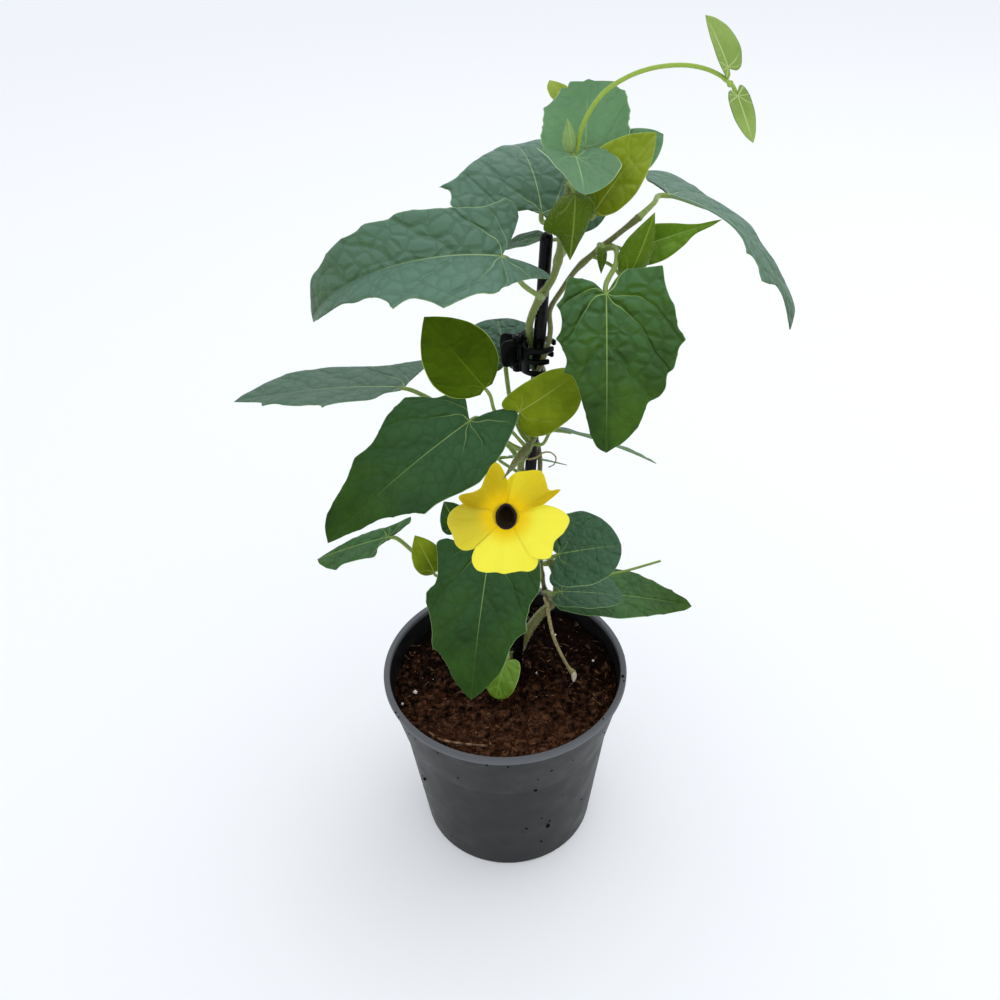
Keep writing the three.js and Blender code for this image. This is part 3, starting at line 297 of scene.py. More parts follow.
# the front left is painted lighter than the back right: painted light where the light falls, over
# patches that have really dried
painted_light_slope = add(tree, "ShaderNodeVectorMath", {0: millimetres, 1: (-0.001, -0.005, 0.0)},
            operation="DOT_PRODUCT")
drier_and_lit = add(tree, "ShaderNodeMath", {0: patch, 1: painted_light_slope}, operation="ADD")
dry_and_lit = add(tree, "ShaderNodeMath", {0: drier_and_lit, 1: speck}, operation="ADD")
dryness_and_light = add(tree, "ShaderNodeMapRange", {0: dry_and_lit, 1: 0.85, 2: 1.2})
peat = add(tree, "ShaderNodeMix", {0: dryness_and_light, 6: "#0b0402", 7: "#3c2013"}, data_type="RGBA")
crumbs = add(tree, "ShaderNodeBump", {"Height": speck, "Strength": 0.8, "Distance": 0.0008})
join(shader, {"Base Color": peat, "Normal": crumbs})

soil = piece_from("compost", [soil_part()], [damp_peat], nodes=["soil"], crease=70)


def new_group(name, kind, inputs, outputs):
    """An empty node group with these named sockets, and what is given to it."""
    tree = bpy.data.node_groups.new(name, kind)
    for in_out, sockets in (("INPUT", inputs), ("OUTPUT", outputs)):
        for socket, value_kind in sockets.items():
            tree.interface.new_socket(socket, in_out=in_out, socket_type="NodeSocket" + value_kind)
    return tree, add(tree, "NodeGroupInput").outputs


def grow(piece, group, values):
    """Works a node group with these input values into the mesh of a piece."""
    modifier = piece.modifiers.new(group.name, "NODES")
    modifier.node_group = group
    for item in group.interface.items_tree:
        if item.name in values:
            modifier[item.identifier] = values[item.name]
    settle(piece)


def strewn(tree, given, where, instance, scale, lean, lean_seed):
    """Instances strewn over the surface where that holds, leant at random by up to so many
    radians, made real and given their finish."""
    spots = add(tree, "GeometryNodeDistributePointsOnFaces",
                {"Mesh": given[0], "Selection": where, "Density": given["Per square metre"],
                 "Seed": given["Seed"]})
    lie = add(tree, "FunctionNodeRandomValue", {0: (-lean, -lean, 0.0), 1: (lean, lean, FULL_TURN),
                                                "Seed": lean_seed}, data_type="FLOAT_VECTOR")
    turn = add(tree, "FunctionNodeEulerToRotation", {0: lie})
    laid = add(tree, "FunctionNodeRotateRotation", {0: spots.outputs["Rotation"], 1: turn},
               rotation_space="LOCAL")
    strewn_on = add(tree, "GeometryNodeInstanceOnPoints",
                    {"Points": spots, "Instance": instance, "Rotation": laid, "Scale": scale})
    real = add(tree, "GeometryNodeRealizeInstances", {0: strewn_on})
    return add(tree, "GeometryNodeSetMaterial", {0: real, "Material": given["Finish"]})


def scatter_tree():
    """Grains scattered over a surface: named inputs set how many, how large and how flat."""
    tree, given = new_group(
        "scattered_grains", "GeometryNodeTree",
        {"Surface": "Geometry", "Per square metre": "Float", "Smallest": "Float",
         "Largest": "Float", "Stretch": "Float", "Lowest": "Float", "Least upward": "Float",
         "Farthest out": "Float", "Seed": "Int", "Finish": "Material"}, {"Grains": "Geometry"})
    place = add(tree, "GeometryNodeInputPosition")
    height = add(tree, "ShaderNodeSeparateXYZ", {0: place}).outputs["Z"]
    facing = add(tree, "GeometryNodeInputNormal")
    up = add(tree, "ShaderNodeSeparateXYZ", {0: facing}).outputs["Z"]
    high = add(tree, "FunctionNodeCompare", {0: height, 1: given["Lowest"]}, data_type="FLOAT",
               operation="GREATER_THAN")
    outward = add(tree, "FunctionNodeCompare", {0: up, 1: given["Least upward"]},
                  data_type="FLOAT", operation="GREATER_THAN")
    level = add(tree, "ShaderNodeVectorMath", {0: place, 1: (1.0, 1.0, 0.0)}, operation="MULTIPLY")
    from_axis = add(tree, "ShaderNodeVectorMath", {0: level}, operation="LENGTH")
    inside = add(tree, "FunctionNodeCompare", {0: from_axis, 1: given["Farthest out"]},
                 data_type="FLOAT", operation="LESS_THAN")
    turned_out = add(tree, "FunctionNodeBooleanMath", {0: high, 1: outward}, operation="AND")
    where = add(tree, "FunctionNodeBooleanMath", {0: turned_out, 1: inside}, operation="AND")
    lump = add(tree, "GeometryNodeMeshIcoSphere", {"Radius": 1.0, "Subdivisions": 1})
    size = add(tree, "FunctionNodeRandomValue", {2: given["Smallest"], 3: given["Largest"],
                                                 "Seed": given["Seed"]}, data_type="FLOAT")
    shape = add(tree, "FunctionNodeRandomValue",
                {0: (0.55, 0.7, 0.45), 1: (1.1, 1.2, 0.9), "Seed": 9}, data_type="FLOAT_VECTOR")
    long = add(tree, "ShaderNodeCombineXYZ", {0: given["Stretch"], 1: 1.0, 2: 1.0})
    drawn = add(tree, "ShaderNodeVectorMath", {0: shape, 1: long}, operation="MULTIPLY")
    scale = add(tree, "ShaderNodeVectorMath", {0: drawn, "Scale": size}, operation="SCALE")
    add(tree, "NodeGroupOutput", {0: strewn(tree, given, where, lump, scale, 0.5, 5)})
    return tree


scattered_grains = scatter_tree()


def scatter(name, surface, finish, per_square_metre, smallest, largest, stretch, lowest, upward,
            farthest_out, seed):
    """A piece made of the grains that lie on a surface; all its sizes are in metres."""
    grains = bpy.data.objects.new(name, surface.data.copy())
    bpy.context.scene.collection.objects.link(grains)
    grow(grains, scattered_grains,
         {"Per square metre": per_square_metre, "Smallest": smallest, "Largest": largest,
          "Stretch": stretch, "Lowest": lowest, "Least upward": upward,
          "Farthest out": farthest_out, "Seed": seed, "Finish": finish})
    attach(grains, "plant")


# Coir and peat crumbs lie loose on the surface; each is a little lighter than the bed.
loose_coir, tree, shader, millimetres = new_finish(
    "loose_coir", {"Roughness": 0.9, "Specular IOR Level": 0.04})
tone = add(tree, "ShaderNodeTexNoise", {"Vector": millimetres, "Scale": 0.3, "Detail": 3.0})
# painted light: the crumbs are painted lighter towards the front, where the light falls
painted_light_slope = add(tree, "ShaderNodeVectorMath", {0: millimetres, 1: (0.0, -0.0045, 0.0)},
            operation="DOT_PRODUCT")
drier_and_lit = add(tree, "ShaderNodeMath", {0: tone, 1: painted_light_slope}, operation="ADD")
spread = add(tree, "ShaderNodeMapRange", {0: drier_and_lit, 1: 0.48, 2: 0.95})
coir = add(tree, "ShaderNodeMix", {0: spread, 6: "#100704", 7: "#704a34"}, data_type="RGBA")
join(shader, {"Base Color": coir})

# Coir fibres: straw-brown strands of husk, paler than the peat they hold together.
coir_strand = mottled_finish("coir_strand", {"Roughness": 0.8, "Specular IOR Level": 0.1},
                             "#35200f", "#a88468", 0.3, 2.0, 0.4, 0.7)

# Expanded perlite: white volcanic glass foam, matt and slightly grey with damp.
perlite_foam = mottled_finish("perlite_foam", {"Roughness": 0.85}, "#b9aca2", "#f2ece6", 2.2, 3.0)

# grains per square metre, smallest, largest, stretch, lowest, least upward, farthest out, seed
scatter("compost_crumbs", soil, loose_coir, 620000.0, 0.00035, 0.00105, 1.2, 0.085, 0.4, 0.06, 3)
scatter("coir_fibres", soil, coir_strand, 60000.0, 0.00013, 0.00026, 16.0, 0.087, 0.4, 0.053, 11)
scatter("compost_clods", soil, loose_coir, 42000.0, 0.0009, 0.0028, 1.3, 0.085, 0.4, 0.051, 14)
scatter("perlite", soil, perlite_foam, 1300.0, 0.0003, 0.0007, 1.0, 0.087, 0.4, 0.06, 21)

# Peat that clings to the pot's wall: small, wet and nearly black.
clinging_peat = mottled_finish("clinging_peat", {"Roughness": 0.9, "Specular IOR Level": 0.05},
                               "#070302", "#1d100b", 0.5, 2.0)
scatter("soil_specks_on_pot", pot, clinging_peat, 3200.0, 0.0002, 0.0006, 1.6, 0.012, -0.45, 0.1, 8)
scatter("soil_crumbs_on_pot", pot, clinging_peat, 520.0, 0.0005, 0.0014, 1.5, 0.03, -0.45, 0.1, 33)


def lump_part(x, y, radius, seed):
    """One lump of perlite, half sunk in the compost."""
    random = np.random.default_rng(seed)
    work = bmesh.new()
    bmesh.ops.create_icosphere(work, subdivisions=2, radius=radius)
    height = float(soil_height(x, y)) + 0.4 * radius
    points = [(x + v.co.x * k, y + v.co.y * k, height + v.co.z * k)
              for v, k in zip(work.verts, random.uniform(0.82, 1.15, len(work.verts)))]
    faces = [[v.index for v in face.verts] for face in work.faces]
    work.free()
    return points, faces, 0, None


PERLITE_LUMPS = [(26.7, 27.7, 1.3), (-45, -6, 1.1), (-51, -13.5, 0.7), (45, 9, 0.75), (-33.5, 6.5, 0.7),
                 (16, 4, 0.7)]
piece_from("perlite_lumps", [lump_part(x, y, r, k) for k, (x, y, r) in enumerate(PERLITE_LUMPS)],
           [perlite_foam], crease=30)

# ---------------------------------------------------------------- cane
# A thin split-bamboo substitute: a steel wire core in a dark, glossy polyethylene coat, pushed
# down into the compost near the middle of the pot. The vine is wound round it.
CANE_RADIUS = 2.4
CANE_BOTTOM = 16
CANE_TOP = 319.5
CANE_DOME = 2.3
CANE_SOIL_X = 5.4
CANE_LEAN = 0.0625


def smooth_path(points, step):
    """Even steps, in mm, along a smooth centripetal curve through the points."""
    points = [np.array(p, float) for p in points]
    ends = [2 * points[0] - points[1], *points, 2 * points[-1] - points[-2]]
    fine = []
    for p0, p1, p2, p3 in zip(ends, ends[1:], ends[2:], ends[3:]):
        gaps = [max(np.linalg.norm(b - a), 1e-6) ** 0.5 for a, b in ((p0, p1), (p1, p2), (p2, p3))]
        before, across, after = gaps
        leave = ((p1 - p0) / before - (p2 - p0) / (before + across) + (p2 - p1) / across) * across
        arrive = ((p2 - p1) / across - (p3 - p1) / (across + after) + (p3 - p2) / after) * across
        for t in np.linspace(0, 1, 16, endpoint=False):
            fine.append((2 * t ** 3 - 3 * t ** 2 + 1) * p1 + (t ** 3 - 2 * t ** 2 + t) * leave
                        + (3 * t ** 2 - 2 * t ** 3) * p2 + (t ** 3 - t ** 2) * arrive)
    fine.append(points[-1])
    fine = np.array(fine)
    run = np.concatenate([[0], np.cumsum(np.linalg.norm(np.diff(fine, axis=0), axis=1))])
    count = max(2, int(round(run[-1] / step)) + 1)
    even = np.linspace(0, run[-1], count)
    return np.stack([np.interp(even, run, fine[:, axis]) for axis in range(3)], axis=1)


def tapered(path, places, radii):
    """A radius for each point of a path, from radii at shares of its length."""
    return np.interp(np.linspace(0, 1, len(path)), places, radii)


def tube(path, radius, sides=12, finish_number=0):
    """A closed round rod along a path; radius is a number or one for each point."""
    radius = np.broadcast_to(np.asarray(radius, float), len(path))
    ahead = np.gradient(path, axis=0)
    ahead /= np.linalg.norm(ahead, axis=1)[:, None]
    side = np.cross(ahead[0], (0.31, 0.22, 0.93))
    points = []
    turns = 2 * np.pi * np.arange(sides) / sides
    for point, direction, size in zip(path, ahead, radius):
        side = side - direction * np.dot(side, direction)
        side /= np.linalg.norm(side)
        other = np.cross(direction, side)
        points.extend(point + size * (math.cos(t) * side + math.sin(t) * other) for t in turns)
    return points, ring_faces(len(path), sides), finish_number, None


def stalk(points, step, places, radii, sides, finish_number=0):
    """A tapered rod along the smooth path through the points."""
    path = smooth_path(points, step)
    return tube(path, tapered(path, places, radii), sides, finish_number)


def cane_at(height):
    return np.array([CANE_SOIL_X + (height - SOIL_TOP) * CANE_LEAN, 0.0, height])


# Extruded polyethylene coat: near black, glossy, faintly ribbed by the die, dusty in places.
glossy_polyethylene, tree, shader, millimetres = new_finish(
    "glossy_polyethylene", {"Specular IOR Level": 0.12})
film = mottle(shader, millimetres, "#030203", "#0f0c0d", 0.35, 4.0, 0.5, 0.8)[0]
dulled = add(tree, "ShaderNodeMapRange", {0: film, 1: 0.3, 2: 0.8, 3: 0.22, 4: 0.5})
knobs = add(tree, "ShaderNodeTexNoise", {"Vector": millimetres, "Scale": 0.9, "Detail": 2.0})
ribbed = add(tree, "ShaderNodeBump", {"Height": knobs, "Strength": 0.5, "Distance": 0.0004})
join(shader, {"Roughness": dulled, "Normal": ribbed})

cane_path = smooth_path([cane_at(CANE_BOTTOM), cane_at(SOIL_TOP), cane_at(CANE_TOP)], 3)
cane_cap = smooth_path([cane_at(CANE_TOP - 1), cane_at(CANE_TOP), cane_at(CANE_TOP + CANE_DOME)], 0.25)
dome = np.clip((cane_cap[:, 2] - CANE_TOP) / (CANE_DOME + 0.05), 0, 1)
cap_radius = CANE_RADIUS * np.sqrt(1 - dome ** 2) + 0.02
piece_from("cane_rod", [tube(cane_path, CANE_RADIUS, 32), tube(cane_cap, cap_radius, 32)],
           [glossy_polyethylene], nodes=["cane"])

# A long strand of coir husk that lies along the inside of the rim; it is part of the compost.
husk = [(-37, -35.5, 95), (-32.5, -39, 94.2), (-28, -40.8, 93.9), (-21, -42.6, 94.2),
        (-13.5, -43.8, 94), (-6, -43.6, 93.4)]
piece_from("husk_strand", [stalk(husk, 0.6, [0, 0.3, 0.8, 1], [0.35, 0.68, 0.62, 0.3], 7)],
           [coir_strand])

# ---------------------------------------------------------------- stems
# Two stems rise from one old base, cross beside the cane and wind up it. The old one is olive and
# brown with a thin bark, the younger growth is green, and all of it has short white hairs.
MAIN_RADIUS = 1.4
MAIN_WRAP = 4.3
SIDE_RADIUS = 1.0
SIDE_WRAP = 3.95
BASE_RADIUS = 2.3
SHOOT_RADIUS = 0.75
WRAP_RATE = 5.6
WRAP_STEP = 7
NODE_REACH = 2.2


def wound(low, high, degrees_at_low, distance):
    """Points of a stem that winds round the cane."""
    points = []
    count = round((high - low) / WRAP_STEP)
    for height in np.linspace(low, high, count + 1):
        turn = math.radians(degrees_at_low + (height - low) * WRAP_RATE)
        points.append(cane_at(height) + distance * np.array([math.cos(turn), math.sin(turn), 0]))
    return points


base_stem = smooth_path([(1, 6, 72), (3, 6, 92), (7, 5, 106), (12, 4.5, 120), (18, 7, 128),
                         (27, 10.5, 135)], 0.8)
main_stem = smooth_path([(25, 9.7, 133), (25.5, 10, 146), (21.5, 9, 166), (18, 7, 184),
                         *wound(200, 298, 63, MAIN_WRAP),
                         (22, -5, 307), (24.5, -4.4, 318), (26.5, -3, 333), (28.5, -3, 350)], 0.8)
side_stem = smooth_path([(23, 8, 134), (20, 3, 146), (18, -1.5, 163), (16, -4, 182),
                         *wound(199, 290, -117, SIDE_WRAP), (26, 2, 299), (31, 0, 307.5),
                         (38, -2, 315), (45, -3.4, 321.5), (52.5, -4, 328)], 0.8)
shoot = smooth_path([(29.4, -4.2, 350), (31.2, -5.5, 360), (37, -7, 370), (44, -8, 375),
                     (52, -9, 378), (62, -10, 379), (69, -11, 378), (74, -12, 376),
                     (78, -12.5, 373)], 0.8)


def stem_finish(name, young, old, bark, old_low, old_high):
    """Living stem: waxy green skin below fine bark streaks; old_low and old_high in mm up."""
    finish, tree, shader, millimetres = new_finish(
        name, {"Roughness": 0.5, "Subsurface Weight": 0.12, "Subsurface Radius": (0.6, 0.8, 0.2),
               "Subsurface Scale": 0.001})
    height_mm = add(tree, "ShaderNodeSeparateXYZ", {0: millimetres}).outputs["Z"]
    long_way = add(tree, "ShaderNodeVectorMath", {0: millimetres, 1: (1.0, 1.0, 0.12)},
                   operation="MULTIPLY")
    streak = add(tree, "ShaderNodeTexNoise", {"Vector": long_way, "Scale": 1.3, "Detail": 4.0})
    lower = add(tree, "ShaderNodeMapRange", {0: height_mm, 1: old_high, 2: old_low})
    aged = add(tree, "ShaderNodeMath", {0: lower, 1: streak}, operation="MULTIPLY")
    age = add(tree, "ShaderNodeMapRange", {0: aged, 1: 0.2, 2: 0.6})
    green = add(tree, "ShaderNodeMix", {0: streak, 6: young, 7: old}, data_type="RGBA")
    skin = add(tree, "ShaderNodeMix", {0: age, 6: green, 7: bark}, data_type="RGBA")
    ridges = add(tree, "ShaderNodeBump", {"Height": streak, "Strength": 0.6, "Distance": 0.0003})
    join(shader, {"Base Color": skin, "Normal": ridges})
    return finish


main_stem_skin = stem_finish("green_stem_skin", "#7f8f3e", "#5d6a2c", "#605a2a", 120, 320)
side_stem_skin = stem_finish("browning_stem_skin", "#7c8440", "#5a5a2a", "#4b3a25", 180, 345)
shoot_skin = stem_finish("young_shoot_skin", "#a3bf45", "#86a536", "#86a536", 0, 1)
petiole_skin = stem_finish("petiole_skin", "#8fa64a", "#71893a", "#71893a", 0, 1)

# Plant hairs: clear single cells that scatter light, so they show as a white fuzz.
hair_wall = mottled_finish(
    "plant_hair", {"Roughness": 0.5, "Subsurface Weight": 0.3, "Subsurface Scale": 0.0005},
    "#b7c29a", "#e9ecd8", 0.5, 2.0)


def hair_tree():
    """Fine hairs that stand on the faces of one finish; the rest of the piece stays bare."""
    tree, given = new_group("stem_hairs", "GeometryNodeTree",
                            {"Piece": "Geometry", "Hairy finish": "Material",
                             "Per square metre": "Float", "Length": "Float", "Thickness": "Float",
                             "Seed": "Int", "Finish": "Material"}, {"Haired piece": "Geometry"})
    hairy = add(tree, "GeometryNodeMaterialSelection", {0: given["Hairy finish"]})
    hair = add(tree, "GeometryNodeMeshCone",
               {"Vertices": 3, "Radius Top": 0.0, "Radius Bottom": given["Thickness"],
                "Depth": given["Length"]}, fill_type="NONE")
    size = add(tree, "FunctionNodeRandomValue", {2: 0.5, 3: 1.2, "Seed": 2}, data_type="FLOAT")
    hairs = strewn(tree, given, hairy, hair, size, 0.6, given["Seed"])
    whole = add(tree, "GeometryNodeJoinGeometry", {0: hairs})
    join(whole, {0: given["Piece"]})
    add(tree, "NodeGroupOutput", {0: whole})
    return tree


stem_hairs = hair_tree()


def with_hairs(piece, finish, per_square_mm=2.5, length=0.8, thickness=0.035):
    """Grows hairs on the faces of the piece that have that finish."""
    grow(piece, stem_hairs, {"Hairy finish": finish, "Per square metre": per_square_mm * 1e6,
                             "Length": length / 1000, "Thickness": thickness / 1000, "Seed": 7,
                             "Finish": hair_wall})


def knobbly(path, radius, nodes_at, swell=0.35):
    """A stem's radius along its path, swollen at the heights where leaves spring from it."""
    size = np.full(len(path), float(radius))
    for height in nodes_at:
        size += radius * swell * np.exp(-((path[:, 2] - height) / NODE_REACH) ** 2)
    return size


main_radius = knobbly(main_stem, MAIN_RADIUS, [137, 158, 188, 214, 231, 299, 313, 321, 341])
main_radius *= np.interp(main_stem[:, 2], [130, 300, 350], [1.05, 1.0, 0.8])
base_radius = np.interp(np.arange(len(base_stem)), [0, len(base_stem) * 0.75, len(base_stem)],
                        [BASE_RADIUS, BASE_RADIUS, BASE_RADIUS * 0.8])
side_radius = knobbly(side_stem, SIDE_RADIUS, [148, 160, 172, 186, 201, 310, 316, 327], 0.3)
shoot_radius = np.interp(np.arange(len(shoot)), [0, len(shoot)], [1.1, 0.9]) * SHOOT_RADIUS
main_rods = [tube(main_stem, main_radius, 14), tube(base_stem, base_radius, 18)]
for name, rods, skin, node, slot, hairs in [
        ("main_stem", main_rods, main_stem_skin, "stem_main", "green_stem", {}),
        ("side_stem", [tube(side_stem, side_radius, 12)], side_stem_skin, "stem_side",
         "brown_stem", {}),
        ("arching_shoot", [tube(shoot, shoot_radius, 12)], shoot_skin, "shoot_arching",
         "young_stem", {"per_square_mm": 1.5, "length": 0.4})]:
    with_hairs(piece_from(name, rods, [skin], nodes=[node]), skin, **hairs)

# ---------------------------------------------------------------- large leaves
# Arrow-shaped leaves with coarse, pointed teeth, each grown in one piece with its petiole. The
# blade is thin and quilted between five main veins that spread from the petiole. Outlines are in
# percent of the midrib's length and of the half width; a third value marks a sharp tooth.
ARROW = [(-6, 6), (-15, 20), (-20, 44), (-17, 70), (-7, 87), (8, 97), (25, 100), (42, 93), (58, 79),
         (72, 61), (85, 40), (95, 20)]
UPPER_LEFT_EDGE = (
    [(-10, 3), (-24, 10), (-24, 28), (-10, 50), (4, 85), (10, 104), (14, 101), (20, 112), (27, 127, 1),
     (31, 108), (38, 92), (44, 109, 1), (47, 83), (54, 60), (60, 58), (68, 43), (80, 40), (92, 22)],
    [(-5, 40), (-8, 80), (-6, 106), (-2, 112, 1), (2, 100), (10, 87), (25, 88), (38, 93), (42, 86),
     (51, 90), (55, 82), (62, 82), (72, 70), (77, 62), (83, 60), (90, 40), (96, 17)])
UPPER_BACK_EDGE = (
    [(0, 5), (4, 20), (4, 65), (8, 98), (14, 111), (20, 108), (26, 108), (30, 120, 1), (33, 108),
     (38, 93), (47, 76), (65, 44), (80, 22)],
    ARROW)
RIGHT_ARCHED_EDGE = (
    [(-2, 30), (-5, 80), (-1, 135, 1), (6, 132), (14, 122), (22, 90), (28, 70), (35, 66), (46, 66),
     (52, 54), (58, 42), (70, 42), (80, 45), (88, 50), (94, 48), (98, 30)],
    [(0, 10), (14, 15), (25, 12), (31, 14), (37, 24), (42, 45), (45, 85, 1), (51, 70), (55, 78),
     (57, 104), (60, 120, 1), (67, 75), (75, 20), (82, 8), (95, 6)])
FRONT_RIGHT_EDGE = (
    [(-3, 4), (-13, 20), (-15, 54), (-16, 73, 1), (-6, 75), (1, 79), (10, 88), (20, 92), (29, 103, 1),
     (35, 93), (46, 87), (50, 78), (57, 77), (63, 70), (68, 54), (78, 47), (85, 39), (91, 28), (96, 13)],
    [(-2, 11), (-7, 22), (-10, 55), (-10, 70), (-4, 75), (1, 80), (6, 93, 1), (11, 85), (19, 84),
     (26, 95, 1), (33, 82), (40, 76), (47, 82, 1), (50, 64), (57, 54), (66, 47), (74, 40), (85, 33),
     (95, 20)])
MIDDLE_LEFT_EDGE = (
    [(-10, 6), (-20, 20), (-22, 40), (-17, 54), (-10, 68), (0, 86), (15, 99), (27, 92), (39, 83),
     (47, 84, 1), (52, 68), (60, 53), (69, 36), (79, 27), (88, 15), (95, 7)],
    [(-3, 21), (-6, 40), (-1, 57), (6, 66), (12, 82), (19, 98, 1), (31, 95), (37, 90), (43, 80),
     (50, 73), (60, 74, 1), (66, 63), (72, 55), (83, 45), (91, 36), (96, 22)])
FAR_LEFT_EDGE = (
    [(2, 25), (12, 50), (20, 88), (35, 102), (44, 122), (47, 140, 1), (50, 116), (62, 102), (76, 66),
     (82, 70, 1), (84, 40), (93, 20)],
    [(-3, 20), (-9, 60), (-15, 92), (-14, 114, 1), (-5, 103), (6, 86), (17, 75), (30, 79), (44, 82),
     (54, 77), (69, 70), (78, 57), (87, 37), (95, 18)])
FRONT_LOW_EDGE = (
    [(-9, 14), (-14, 46), (-3, 82), (9, 92), (20, 92), (27, 83), (38, 79), (46, 82, 1), (53, 65),
     (60, 57), (67, 53), (77, 45), (84, 34), (93, 17)],
    [(-2, 19), (-3, 56), (-4, 85), (0, 99), (9, 93), (23, 88), (33, 105, 1), (40, 102), (49, 91),
     (57, 84), (67, 81), (72, 65), (80, 49), (89, 33), (95, 17)])
LOW_LEFT_EDGE = (
    [(-3, 14), (5, 19), (14, 33), (23, 68), (35, 63), (50, 62), (66, 59), (76, 72, 1), (87, 54),
     (97, 25)],
    [(-12, 3), (-26, 19), (-36, 34), (-38, 52, 1), (-28, 47), (-7, 36), (20, 35), (50, 27), (77, 14)])
COARSE_TEETH = ((11, 1.2), (12, 1.0))     # spacing and depth in mm, left edge and right edge
SMALL_TEETH = ((6.3, 0.4), (5.5, 0.35))
EDGE_RIPPLE = 0.025          # share of the half width
EDGE_STEPS = 130
BLADE_HALF_THICKNESS = 0.24
VEIN_SLOPE = 0.7             # mm a side vein runs forwards for each mm outwards
VEIN_BOW = 0.028             # how it curls forwards, in 1/mm
VEIN_FAN = 0.75              # radians between the veins of the lobes
SIDE_VEIN_GAP = 19.0
HEIGHT_WEIGHT = 20           # a stalk springs from near its height rather than from the nearest point


def edge_line(outline, count):
    """A leaf's edge from the petiole round the lobe to the tip, in shares."""
    stretches, stretch = [], []
    for along, out, *sharp in [*outline, (100, 0)]:
        stretch.append((along / 100, out / 100, 0.0))
        if sharp:
            stretches.append(stretch)
            stretch = stretch[-1:]
    stretches.append(stretch)
    smooth = np.concatenate([smooth_path(stretch, 0.004) for stretch in stretches])
    steps = np.linspace(0, len(smooth) - 1, count)
    return np.stack([np.interp(steps, np.arange(len(smooth)), smooth[:, k]) for k in (0, 1)], 1)


def toothed(edge, length, half_width, spacing, depth):
    """The edge with hollows between pointed teeth; it runs out at the petiole and the tip."""
    mm = edge * (length, half_width)
    ahead = np.gradient(mm, axis=0)
    outwards = np.stack([-ahead[:, 1], ahead[:, 0]], axis=1)
    outwards /= np.linalg.norm(outwards, axis=1)[:, None] + 1e-9
    run = np.concatenate([[0], np.cumsum(np.linalg.norm(np.diff(mm, axis=0), axis=1))])
    place = run / spacing
    place = place + 0.28 * np.sin(1.1 * place) + 0.1 * np.sin(3.7 * place) + 0.3
    hollow = depth * (np.abs(np.sin(np.pi * place)) ** 0.6 - 0.4)
    hollow *= 0.65 + 0.45 * np.sin(0.9 * place + 1)
    hollow *= np.clip(run / spacing, 0, 1) * np.clip((run[-1] - run) / (1.5 * spacing), 0, 1)
    return (mm - outwards * hollow[:, None]) / (length, half_width)


def quilting(along, across, gap):
    """Height from 0 on the veins to 1 between them; along and across the blade in mm."""
    out = np.abs(across)
    forward = along - VEIN_BOW * out ** 2
    side = forward - VEIN_SLOPE * out
    fan = np.arctan2(out, forward) - math.atan2(1, VEIN_SLOPE)
    phase = np.where(side > 0, side / gap, fan / VEIN_FAN)
    return np.sin(np.pi * phase) ** 2 * np.clip(out / 4, 0, 1)


def blade_frame(junction, tip, roll, droop):
    """The blade's start, its directions at the petiole, its bend and its length."""
    junction = np.array(junction, float)
    chord = np.array(tip, float) - junction
    reach = np.linalg.norm(chord)
    bend = math.radians(droop)
    along = chord / reach
    left = np.cross((0, 0, 1), along)
    left /= np.linalg.norm(left)
    up = np.cross(along, left)
    turn = math.radians(roll)
    rolled_left = left * math.cos(turn) + up * math.sin(turn)
    rolled_up = up * math.cos(turn) - left * math.sin(turn)
    start = along * math.cos(bend / 2) + rolled_up * math.sin(bend / 2)
    start_up = rolled_up * math.cos(bend / 2) - along * math.sin(bend / 2)
    return junction, start, rolled_left, start_up, bend, reach * (bend / 2) / math.sin(bend / 2)


def blade_points(shape, wide, fold, twist, share, across, lift=0.0):
    """Points of the blade at a share of the midrib and mm to the left of it, lifted off it."""
    junction, along, left, up, bend, length = shape
    share, across = np.asarray(share, float), np.asarray(across, float)
    turn = (bend * share)[..., None]
    middle = junction + along * length * np.sin(turn) / bend - up * length * (1 - np.cos(turn)) / bend
    straight_up = along * np.sin(turn) + up * np.cos(turn)
    screw = (math.radians(twist) * share)[..., None]
    blade_up = straight_up * np.cos(screw) - left * np.sin(screw)
    blade_left = left * np.cos(screw) + straight_up * np.sin(screw)
    half_width = np.where(across > 0, wide[0], wide[1])
    reach = np.abs(across) / half_width
    ripple = EDGE_RIPPLE * half_width * reach ** 2 * np.sin(14 * share + np.sign(across))
    slant = np.radians(np.where(across > 0, *np.broadcast_to(fold, 2)))
    height = np.abs(across) * np.sin(slant) + ripple + lift
    return middle + blade_left * (across * np.cos(slant))[..., None] + blade_up * height[..., None]


def sheet_faces(start, rows, columns):
    """Faces of a grid whose points run row by row from this start."""
    corners = [start + i * (columns + 1) + j for i in range(rows) for j in range(columns)]
    return [[a, a + columns + 1, a + columns + 2, a + 1] for a in corners]


